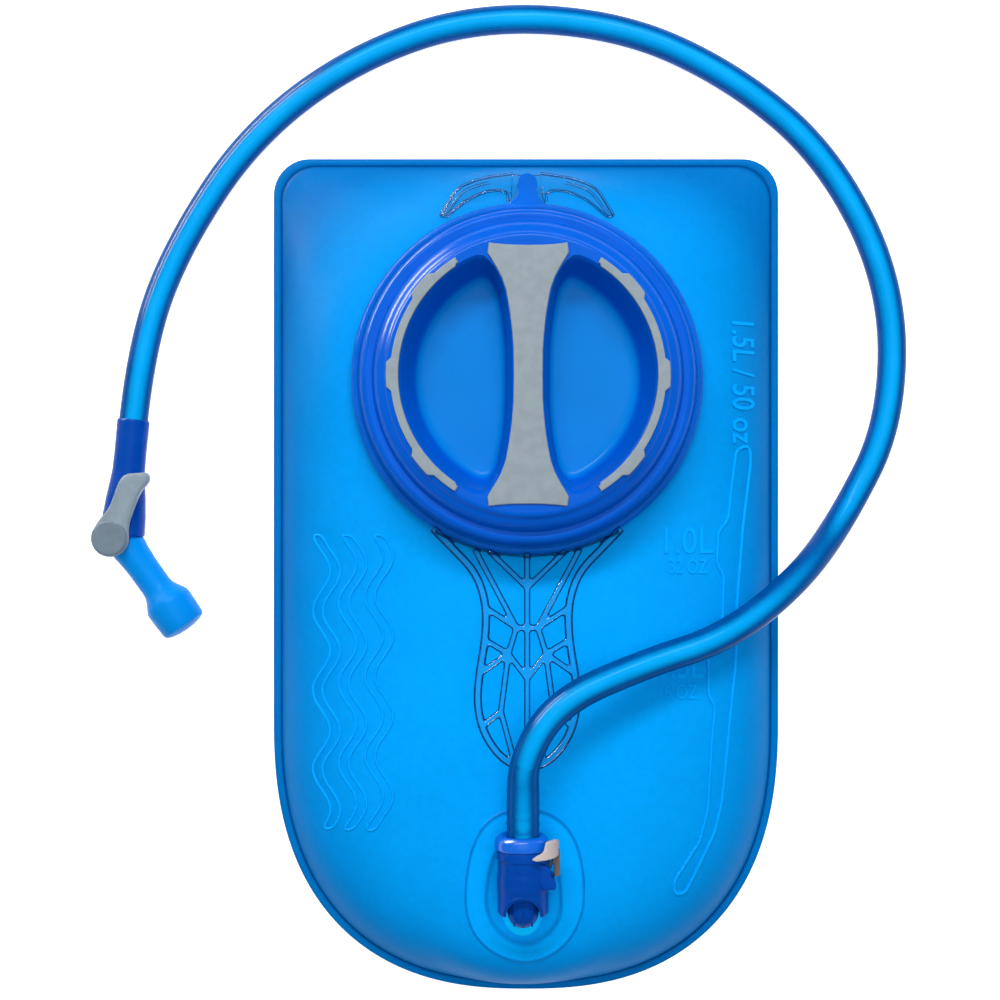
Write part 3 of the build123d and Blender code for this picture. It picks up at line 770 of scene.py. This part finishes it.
def port_patch():
    """The stiff patch round the exit port: a weld line, a smooth band and a shallow dish."""
    outer = smooth_loop(EGG)
    inner = smooth_loop(RECESS)
    middle = (-1.0, -106.0)
    rows = [
        (outer, 1.015, -0.4), (outer, 1.0, 0.25), (outer, 0.985, 0.5), (outer, 0.965, 0.42),
        (outer, 0.95, 0.2), (outer, 0.93, 0.32), (outer, 0.86, 0.5), (inner, 1.12, 0.75),
        (inner, 1.04, 0.85), (inner, 1.0, 0.7), (inner, 0.96, 0.2), (inner, 0.88, 0.12),
        (inner, 0.6, 0.12), (inner, 0.2, 0.12),
    ]
    points = []
    count = len(outer)
    for loop, share, lift in rows:
        for x, y in loop:
            px = middle[0] + (x - middle[0]) * share
            py = middle[1] + (y - middle[1]) * share
            points.append((px, py, PORT_TOP_Z + lift))
    faces = bands(len(rows), count) + [lid(len(rows) - 1, count)]
    # darker at the weld line, and painted shade on the wall down into the dish
    shades = [0, 0.6, 1.0, 0.6, 0, 0, 0, 0, 0, 0.5, 0.7, 0.1, 0, 0]
    weld = [0.6 * shade for shade in shades for _ in range(count)]
    depth = [0.75 * shade for shade in shades for _ in range(count)]
    return sheet_of("port_patch", points, faces, weld=weld, depth=depth)


patch = port_patch()
cut_hole(patch, LINK_X, OUTLET_Y, 4.0)
add_piece("port_patch", patch, "reservoir", FILM, 60)
boss_profile = rounded([
    (29.8, 0), (29.8, 6.6), (30.9, 6.4), (32.4, 5.6), (33.0, 4.4), (33.0, 0),
], 0.7)
port_boss = lathe("port_boss", boss_profile, (LINK_X, OUTLET_Y - 5.2, 0), segments=72)
# the port boss carries the painted glow
add_piece("port_boss", port_boss, "reservoir", PORT_CYAN_PAINTED_GLOW)


# ---- clear frame: ring, hang loop and lattice handle ------------------------------
HANDLE_MID_Z = 36.6
HANDLE_SIDE = [
    (31.5, 16.5), (24.6, 9.4), (17.8, 2.4), (14.6, -5.2), (13.6, -13.0), (14.2, -22.0),
    (16.0, -32.0), (16.8, -42.0), (15.0, -51.0), (10.4, -58.5), (5.2, -62.6), (0, -63.6),
]
LATTICE = [
    ((0, 8.5), (0, -63.0)), ((12.8, 8.9), (0, -3.4)), ((17.5, 9.4), (3.6, -16.8)),
    ((3.6, -16.8), (6.3, -25.5)), ((3.6, -16.8), (0, -16.8)), ((6.3, -25.5), (13.9, -21.0)),
    ((6.3, -25.5), (15.6, -32.0)), ((6.3, -25.5), (0, -33.8)), ((6.3, -25.5), (8.8, -44.8)),
    ((8.8, -44.8), (14.6, -49.5)), ((8.8, -44.8), (4.6, -60.5)), ((14.0, -10.0), (3.6, -16.8)),
]


def mirrored(points):
    """The same points across the bag's middle line."""
    return [(-x, y, z) for x, y, z in points]


def sector(inner, outer, low, high, start, end, steps=40):
    """Part of a flat ring about the cap's axis, between two angles in degrees."""
    points = []
    for i in range(steps + 1):
        angle = math.radians(start + (end - start) * i / steps)
        for r, z in ((inner, low), (outer, low), (outer, high), (inner, high)):
            points.append((r * math.cos(angle), CAP_Y + r * math.sin(angle), z))
    faces = bands(steps + 1, 4) + [lid(0, 4), lid(steps, 4)]
    return mesh_of("sector", points, faces)


side = [(x, y, HANDLE_MID_Z) for x, y in HANDLE_SIDE]
wall = side + mirrored(side[:-1])[::-1]
ribs = []
for start, end in LATTICE:
    rib = [(*start, HANDLE_MID_Z), (*end, HANDLE_MID_Z)]
    ribs.append(rib)
    if start[0] or end[0]:
        ribs.append(mirrored(rib))
wall_mesh = baked(curve_of("wall", [wall], 1.5))
rib_mesh = baked(curve_of("ribs", ribs, 1.15, smooth=False))
root_mesh = sector(58.9, 59.7, 30.2, 36.5, -121, -59)
handle = fused(joined("handle", [wall_mesh, rib_mesh, root_mesh]), 0.38 * MM, 10)
handle_piece = add_piece("lattice_handle", handle, "reservoir", CLEAR, 80)
handle_piece.visible_shadow = False
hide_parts("clear_frame")

LOOP_TOP_Z = 32.3
LOOP_OUTER = [(4.6, 135.9), (12, 135.0), (18, 133.5), (23.3, 131.1), (26.5, 126.5), (29.3, 121.7)]
LOOP_SLOT = [
    (6.6, 126.6), (6.2, 128.6), (8.0, 130.3), (13.3, 130.1), (19.8, 127.3), (23.5, 124.4),
    (27.1, 121.2),
]
LOOP_GROOVE = [(13, 132.8), (18, 131.5), (21.6, 129.8), (24.6, 126.0), (27.8, 121.8)]
rails, webs = [], []
for sign in (1, -1):
    for line in (LOOP_OUTER, LOOP_SLOT, LOOP_GROOVE, [LOOP_SLOT[-1], LOOP_OUTER[-1]]):
        rails.append([(sign * x, y, LOOP_TOP_Z) for x, y in line])
    web = [(sign * x, y) for x, y in LOOP_OUTER + LOOP_SLOT[::-1]]
    webs.append(slab("web", web, 31.3, LOOP_TOP_Z, 0.0))
rail_mesh = baked(curve_of("rails", rails, 0.5))
STEM_PLAN = [(-7.0, 124), (7.0, 124), (5.4, 128), (4.8, 135.6), (-4.8, 135.6), (-5.4, 128)]
stem = slab("stem", STEM_PLAN, 30.8, 32.4, 0.3)
post_profile = rounded([(30.6, 0), (30.6, 2.0), (33.2, 2.0), (33.2, 0)], 0.4)
post = lathe("post", post_profile, (0, 131.2, 0), segments=32)
loop = fused(joined("loop", [*webs, stem, post]), 0.32 * MM, 4)
loop_piece = add_piece("hang_loop", loop, "reservoir", CLEAR, 80)
loop_piece.visible_shadow = False
loop_rails = add_piece("hang_loop_rails", rail_mesh, "reservoir", CLEAR, 80)
loop_rails.visible_shadow = False
ring_profile = rounded([(30.1, 46.2), (30.1, 58.5), (33.1, 58.5), (33.1, 46.2)], 0.6)
clear_ring = add_piece(
    "clear_ring", lathe("clear_ring", ring_profile, (0, CAP_Y, 0), segments=144),
    "reservoir", CLEAR_PLATE,
)
clear_ring.visible_shadow = False


# ---- cap tether ------------------------------------------------------------------
tether_ring = lathe("tether_ring", rounded([
    (33.4, 52.4), (33.4, 58.2), (34.6, 58.9), (36.2, 58.9), (37.2, 57.9), (37.2, 56.9),
    (36.9, 56.4), (37.4, 55.6), (37.4, 52.4),
], 0.35), (0, CAP_Y, 0), segments=192)
half_strap = [(9.5, 121.5), (7.4, 124.4), (5.2, 125.8), (3.7, 127.4), (3.1, 129.6), (3.4, 131.4)]
tip = []
for degrees in (20, 50, 90, 130, 160):
    angle = math.radians(degrees)
    tip.append((3.3 * math.cos(angle), 132.6 + 2.8 * math.sin(angle)))
strap_plan = half_strap + tip + [(-x, y) for x, y in half_strap[::-1]]
strap = slab("strap", strap_plan, 33.5, 36.4, 0.5)
tether_mesh = joined("tether", [tether_ring, strap])
tether = add_piece("tether_band", tether_mesh, "tether", MID_BLUE)
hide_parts("cap_tether")


# ---- cap -------------------------------------------------------------------------
BAR_END = 39.4
BAR_SIDE = [
    (0, 4.65), (8, 4.75), (14.5, 5.2), (21, 6.0), (27.7, 7.25), (31.5, 8.6), (34.7, 10.3),
    (BAR_END, 13.15),
]
POCKET_R = 41.3
POCKET_X = 20.5
POCKET_REACH = 48.0
POCKET_SOFT = 1.9


def bar_half(y):
    """Half the width of the bar between the finger pockets."""
    return between(BAR_SIDE, min(BAR_END, abs(y)))


def pocket_room(side, x, y, draw):
    """How far a point is inside a finger pocket whose walls are drawn in."""
    rim = POCKET_R - draw - math.hypot(x, y)
    bar = side * x - bar_half(y) - 0.7 - 0.45 * draw
    return -POCKET_SOFT * math.log(math.exp(-rim / POCKET_SOFT) + math.exp(-bar / POCKET_SOFT))


def pocket_cutter(side):
    """The space of one finger pocket, from above the cap down to its floor."""
    levels = [
        (-1.6, 55.5), (-1.3, 53.9), (-0.9, 53.25), (-0.4, 52.8), (0.0, 52.2), (0.3, 51.2),
        (3.2, 41.5), (3.9, 39.9), (4.8, 38.9), (6.2, 38.3), (8.5, 38.05),
    ]
    count = 120
    points = []
    for draw, z in levels:
        for i in range(count):
            angle = 2 * math.pi * i / count
            near, far = 0.0, POCKET_REACH
            for _ in range(26):
                middle = (near + far) / 2
                x = side * POCKET_X + middle * math.cos(angle)
                y = middle * math.sin(angle)
                if pocket_room(side, x, y, draw) > 0:
                    near = middle
                else:
                    far = middle
            x = side * POCKET_X + near * math.cos(angle)
            points.append((x, CAP_Y + near * math.sin(angle), z))
    faces = bands(len(levels), count) + [lid(0, count), lid(len(levels) - 1, count)]
    return mesh_of("pocket", points, faces)


CAP_PROFILE = [
    (35.5, 0), (35.5, 42.4), (36.5, 43.4), (41.0, 43.4), (41.3, 42.5), (42.7, 42.5),
    (43.0, 43.4), (48.0, 43.4), (48.0, 48.2), (33.6, 48.2), (33.6, 52.0), (37.8, 52.0),
    (37.8, 55.7), (38.1, 56.0), (40.2, 56.0), (40.9, 55.6), (41.5, 55.35), (44.4, 55.3),
    (45.4, 55.1), (46.2, 54.6), (46.8, 53.8), (47.0, 52.9), (46.9, 52.2), (46.7, 51.6),
    (46.75, 51.2), (47.1, 50.85), (48.2, 50.55), (49.3, 50.15), (50.2, 49.6), (51.0, 48.8),
    (51.6, 47.8), (52.1, 46.8), (52.6, 46.4), (53.1, 46.0), (53.4, 45.4), (53.5, 44.6),
    (53.5, 42.0), (53.2, 40.0), (53.2, 0),
]
cap_mesh = lathe("cap", CAP_PROFILE, (0, CAP_Y, 0), segments=240)
pockets = cutters_of(pocket_cutter(-1), pocket_cutter(1))
cap_mesh = baked(cap_mesh, *pockets)
drop(pockets)


def thread_ridges(radius, start_z, starts=4, lead=18.0, span=72.0):
    """Coarse thread ridges inside the cap's skirt."""
    points, faces = [], []
    steps = 30
    for start in range(starts):
        base = len(points)
        for i in range(steps + 1):
            turn = span * i / steps
            angle = math.radians(turn + start * 360 / starts)
            tall = min(1.0, 4 * min(i, steps - i) / steps + 0.15)
            z = start_z + lead * turn / 360
            for dr, dz in ((0.2, -0.85), (-1.4 * tall, -0.4), (-1.4 * tall, 0.4), (0.2, 0.85)):
                r = radius + dr
                points.append((r * math.cos(angle), CAP_Y + r * math.sin(angle), z + dz))
        faces += bands(steps + 1, 4, base) + [lid(0, 4, base), lid(steps, 4, base)]
    return mesh_of("ridges", points, faces)


cap_mesh = joined("cap", [cap_mesh, thread_ridges(48.2, 36.75)])
floor_light = cap_mesh.attributes.new("floor", "FLOAT", "POINT")
for vertex in cap_mesh.vertices:
    x, y, z = vertex.co / MM
    in_pocket = math.hypot(x, y - CAP_Y) < 41 and z > 37.9
    floor_light.data[vertex.index].value = 1 - smooth_step(38.3, 40.5, z) if in_pocket else 0.0
cap = add_piece("cap_body", cap_mesh, "cap", CAP_BLUE, 32)
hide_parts("cap_shell")

quarter = [(bar_half(y), y) for y in (0, 4, 8, 12, 16, 20, 24, 27.7, 31.5, 34.7, 37, BAR_END)]
end_arc = [
    (12.75, 42.6), (8.5, 42.1), (4.2, 41.85), (0, 41.8), (-4.2, 41.85), (-8.5, 42.1),
    (-12.75, 42.6),
]
bar_plan = quarter + end_arc + [(-x, y) for x, y in quarter[::-1]]
bar_plan += [(-x, -y) for x, y in quarter[1:]] + [(-x, -y) for x, y in end_arc]
bar_plan += [(x, -y) for x, y in quarter[:0:-1]]
bar_mesh = slab("bar", [(x, y + CAP_Y) for x, y in bar_plan], 52.4, 54.4, 0.45)
grip_bar = add_piece("grip_bar", bar_mesh, "cap", GREY)
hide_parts("cap_grip_bar")


def grip_plan(side):
    """A grip inlay: an arc whose outer edge steps out at three pads."""
    outer, inner = [], []
    for i in range(117):
        angle = -58 + i
        pad = max(1 - smooth_step(5.0, 7.0, abs(angle - middle)) for middle in (-40, 0, 40))
        radius = 44.6 + 1.4 * pad
        turn = math.radians(angle)
        outer.append((side * radius * math.cos(turn), radius * math.sin(turn)))
        radius = 42.0 if abs(angle) < 57 else 42.64
        inner.append((side * radius * math.cos(turn), radius * math.sin(turn)))
    return [(x, y + CAP_Y) for x, y in outer + inner[::-1]]


for side_name, sign in (("left", -1), ("right", 1)):
    grip_mesh = slab("grip", grip_plan(sign), 52.2, 54.6, 0.4)
    grip = add_piece(f"grip_{side_name}", grip_mesh, "cap", GREY)
    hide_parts(f"cap_grip_{side_name}")


# ---- quick link ------------------------------------------------------------------
LINK = (LINK_X, 0, LINK_Z)
LINK_R = 8.4
ALONG_Y = (0, 1, 0)
body_profile = rounded([
    (-110.6, 5.4), (-110.6, 7.7), (-109.8, LINK_R), (-103.0, LINK_R), (-101.4, 8.65),
    (-97.6, 8.65), (-96.4, LINK_R), (-92.6, LINK_R), (-92.3, 8.8), (-89.3, 8.8), (-89.3, 5.0),
    (-92.4, 5.0), (-92.6, 5.4),
], 0.3)
socket = lathe("socket", body_profile, LINK, ALONG_Y, 144)
NOTCH_R = 5.5
NOTCH_Y = -109.6
notch_plan = [(LINK_X + NOTCH_R, -114), (LINK_X + NOTCH_R, NOTCH_Y)]
notch_plan += [
    (LINK_X + NOTCH_R * math.cos(math.radians(a)), NOTCH_Y + NOTCH_R * math.sin(math.radians(a)))
    for a in range(9, 180, 9)
]
notch_plan += [(LINK_X - NOTCH_R, NOTCH_Y), (LINK_X - NOTCH_R, -114)]

# room inside for the latch plate and the button's spring, over the whole press of the button
SLOT = (-100.8, -98.4)
SPRING_AT = (0, -94, LINK_Z)
slot_plan = [(LINK_X + x, y) for x, y in (
    (-4.0, SLOT[0]), (12, SLOT[0]), (12, SLOT[1]), (-4.0, SLOT[1]),
)]
room_profile = [(SLOT[0], 0), (SLOT[0], 8.1), (SLOT[1], 8.1), (SLOT[1], 0)]
spring_profile = [(3.2, 0), (3.2, 1.9), (13, 1.9), (13, 0)]
link_cutters = cutters_of(
    slab("notch", notch_plan, 30, 60, 0.0),
    slab("latch_slot", slot_plan, LINK_Z - 6.2, LINK_Z + 6.2, 0.0),
    lathe("latch_room", room_profile, LINK, ALONG_Y),
    lathe("spring_hole", spring_profile, SPRING_AT, (1, 0, 0), 32),
)
socket = baked(socket, *link_cutters)
boss_plan = rounded([
    (2.0, -92.8), (5.6, -92.9), (7.4, -95.0), (7.5, -97.6), (9.3, -98.5), (9.2, -101.2),
    (5.0, -101.6), (3.2, -98.4),
], 0.9, 5)
boss = baked(slab("boss", boss_plan, LINK_Z - 6.5, LINK_Z + 6.6, 0.7, 4), *link_cutters[1:])
drop(link_cutters)


def over_link(x, y, radius):
    """A point on top of the link, x from its axis."""
    return (LINK_X + x, y, LINK_Z + math.sqrt(radius ** 2 - x * x))


ARCH_R = 6.3
arch = [over_link(-ARCH_R, -110.0, LINK_R)]
for i in range(25):
    angle = math.pi * i / 24
    foot = NOTCH_Y + ARCH_R * math.sin(angle)
    arch.append(over_link(-ARCH_R * math.cos(angle), foot, LINK_R))
arch.append(over_link(ARCH_R, -110.0, LINK_R))
trim = baked(curve_of("trim", [arch], 0.3, smooth=False))
link_mesh = joined("link", [socket, boss, trim])
link_body = add_piece("link_body", link_mesh, "hose", DEEP_BLUE)
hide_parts("quick_link_socket")
nose_ribs = baked(curve_of("nose", [
    [over_link(x, -113.6, 5.2), over_link(x, -104.4, 5.2)] for x in (-2.9, 0, 2.9)
], 0.35, smooth=False))
add_piece("nose_ribs", nose_ribs, "reservoir", DEEP_BLUE)

collar_profile = rounded([
    (-89.3, 5.1), (-89.3, 8.3), (-88.9, 9.0), (-87.4, 9.15), (-85.6, 8.8), (-84.6, 7.9),
    (-84.3, 6.9), (-84.9, 6.0), (-85.4, 5.1),
], 0.8)
collar_mesh = lathe("collar", collar_profile, (LINK_X - 0.4, 0, LINK_Z), ALONG_Y, 96)
collar = add_piece("link_collar", collar_mesh, "hose", COLLAR_BLUE)
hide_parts("quick_link_collar")

leg_plan = rounded([(8.5, -89.6), (10.7, -89.6), (10.6, -97.6), (9.8, -98.2), (8.8, -97.6)], 0.5)
leg = slab("leg", leg_plan, LINK_Z - 4.0, LINK_Z + 1.4, 0.5)
# the leg gets the darker grey as painted shade
add_piece("button_leg", leg, "button", BUTTON_LEG_SHADED, 40)
HEAD_TOP = [
    (2.6, -90.5), (4.1, -89.6), (6.6, -88.6), (7.4, -87.8), (7.8, -85.6), (8.6, -85.1),
    (11.0, -85.1), (12.4, -86.7),
]
HEAD_STEPS = 36
head_points = []
for i in range(HEAD_STEPS + 1):
    angle = math.radians(77 - 77 * i / HEAD_STEPS)
    upper = between(HEAD_TOP, 0.5 + 11.3 * math.cos(angle))
    lower = -91.0 + 0.4 * (1 - min(1.0, i / 3))
    for r, y in (
        (10.2, lower), (11.0, lower), (11.3, lower + 0.3),
        (11.3, upper - 0.3), (11.0, upper), (10.2, upper),
    ):
        head_points.append((LINK_X + 0.5 + r * math.cos(angle), y, LINK_Z + r * math.sin(angle)))
head_faces = bands(HEAD_STEPS + 1, 6) + [lid(0, 6), lid(HEAD_STEPS, 6)]
head = mesh_of("head", head_points, head_faces)
button = add_piece("release_button", head, "button", BUTTON, 40)
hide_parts("quick_link_button")

barb_rings = []
for y in (-83.2, -79.8):
    barb_profile = rounded([(y - 0.9, 3.5), (y - 0.9, 3.95), (y + 0.7, 3.95), (y + 0.7, 3.5)], 0.3)
    barb_rings.append(lathe("barb", barb_profile, LINK, ALONG_Y, 64))
barbs = add_piece("tube_barbs", joined("barbs", barb_rings), "hose", HOSE_TAIL)


# ---- shut-off valve, lever and bite valve -----------------------------------------
inlet = (Vector(TUBE_ROUTE[-1]) - ELBOW).normalized()
outlet = Vector((0.582, -0.814, 0)).normalized()
sleeve_profile = rounded([
    (0.5, 0.5), (0.5, 7.7), (7, 7.45), (13, 6.9), (18, 6.2), (23, 5.65), (30, 5.5), (40.6, 5.6),
    (41.2, 5.3), (41.2, 5.02), (30, 5.02), (30, 0.5),
], 0.5)
HUB_R = 6.6
hub_profile = rounded([
    (0.3, 0.0), (0.3, 5.8), (1.2, HUB_R), (13.4, HUB_R), (14.3, 6.0), (14.3, 0.0),
], 0.5)
valve_mesh = joined("valve", [
    lathe("sleeve", sleeve_profile, ELBOW, inlet, 64),
    lathe("hub", hub_profile, (HUB.x, HUB.y, 0), segments=64),
])
for vertex in valve_mesh.vertices:
    vertex.co.z = max(0.2 * MM, min(14.4 * MM, vertex.co.z))
valve = add_piece("valve_housing", valve_mesh, "hose", DEEP_BLUE)
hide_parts("valve_body")

ARM = [
    (-5.6, 3.4), (-3.6, 6.6), (-1.2, 9.0), (0.8, 12.2), (2.6, 17.0), (4.2, 20.6), (6.4, 22.4),
    (10.2, 22.6), (13.0, 22.9), (14.2, 21.0), (13.4, 18.8), (11.2, 16.6), (9.4, 12.8), (7.8, 8.4),
    (6.5, 4.6), (6.4, 1.0),
]
hub_edge = []
for degrees in range(-10, -211, -12):
    angle = math.radians(degrees)
    hub_edge.append((HUB_R * math.cos(angle), HUB_R * math.sin(angle)))
lever_plan = smooth_loop(ARM + hub_edge, 120)
LEVER_Y = HUB.y - 0.5
lever_mesh = slab("lever", [(HUB.x + x, LEVER_Y + y) for x, y in lever_plan], 14.7, 18.4, 1.5, 5)
for vertex in lever_mesh.vertices:
    away = math.hypot(vertex.co.x / MM - HUB.x, vertex.co.y / MM - HUB.y)
    lean = vertex.co.x / MM - HUB.x
    if vertex.co.z / MM > 16:
        vertex.co.z += (1.7 * smooth_step(8, 20, away) - 0.9 * (1 - smooth_step(5, 9, away))) * MM
        vertex.co.z -= 0.12 * max(0.0, lean - 6) * MM
lever = add_piece("lever_arm", lever_mesh, "lever", LEVER_GREY, 50)
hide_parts("shutoff_lever")
hub_cap = lathe(
    "hub_cap", rounded([(16.6, 0), (16.6, 6.3), (18.3, 6.1), (18.7, 5.5), (18.7, 0)], 0.3),
    (HUB.x, LEVER_Y, 0), segments=64,
)
lever_hub = add_piece("lever_hub", hub_cap, "lever", HUB_GREY)

bite_profile = [
    (1.5, 0.3), (1.5, 6.0), (5, 6.15), (8, 5.75), (13, 5.4), (21.5, 5.35), (23.0, 5.6),
    (24.6, 6.3), (26.8, 7.6), (28.3, 8.3), (29.5, 8.4), (33, 8.3), (37.4, 8.05), (38.5, 7.6),
    (39.2, 6.2), (39.8, 3.4), (40.0, 0.3),
]
across = Vector((0.814, 0.582, 0))
bite_base = ELBOW - across * 0.45
bite_mesh = lathe("bite", bite_profile, bite_base, outlet, 96)
bite = add_piece("bite_tip", bite_mesh, "hose", SILICONE)
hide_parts("bite_valve")
# the slit drawn as a dark bead: painted shade in the cut
slit_end = bite_base + outlet * 39.85
slit_line = [
    tuple(slit_end + across * -3.4 - outlet * 0.35), tuple(slit_end + outlet * 0.1),
    tuple(slit_end + across * 3.4 - outlet * 0.35),
]
slit = baked(curve_of("slit", [slit_line], 0.2))
bite_slit = add_piece("bite_slit", slit, "hose", DEEP_BLUE)


# ---- floor and light ---------------------------------------------------------------
floor_mesh = bpy.data.meshes.new("floor")
floor_corners = [(x, y, -0.0005) for x, y in ((-3, -3), (3, -3), (3, 3), (-3, 3))]
floor_mesh.from_pydata(floor_corners, [], [(0, 1, 2, 3)])
floor = bpy.data.objects.new("floor", floor_mesh)
scene.collection.objects.link(floor)
paper = Finish("paper", (0.95, 0.95, 0.95, 1.0), 0.9)
paper.paint(paper.cloud(3.0, 0.01))
paper.shader.inputs["Emission Color"].default_value = (1, 1, 1, 1)
paper.shader.inputs["Emission Strength"].default_value = 0.68
paper.shader.inputs["Specular IOR Level"].default_value = 0.1
floor_mesh.materials.append(paper.material)

world = bpy.data.worlds.new("studio")
scene.world = world
world.use_nodes = True
world.node_tree.nodes["Background"].inputs["Color"].default_value = (1, 1, 1, 1)
world.node_tree.nodes["Background"].inputs["Strength"].default_value = 0.26


def area_light(name, place, target, size, power, tall=None):
    """A soft light at a place, aimed at a target."""
    data = bpy.data.lights.new(name, "AREA")
    data.energy = power
    data.size = size
    if tall:
        data.shape = "RECTANGLE"
        data.size_y = tall
    light = bpy.data.objects.new(name, data)
    light.location = place
    aim = Vector(target) - Vector(place)
    light.rotation_euler = aim.to_track_quat("-Z", "Y").to_euler()
    scene.collection.objects.link(light)
    return light


area_light("key", (-0.1, 0.8, 0.9), (0, 0.03, 0.03), 0.9, 10.0, 0.16)
fill = area_light("fill", (0.1, 0.1, 1.3), (0, 0, 0), 0.8, 7.8)
fill.visible_glossy = False
rim = area_light("rim", (-0.62, 0.58, 0.16), (0, 0.06, 0.05), 0.55, 22.0, 0.1)
rim.visible_diffuse = False
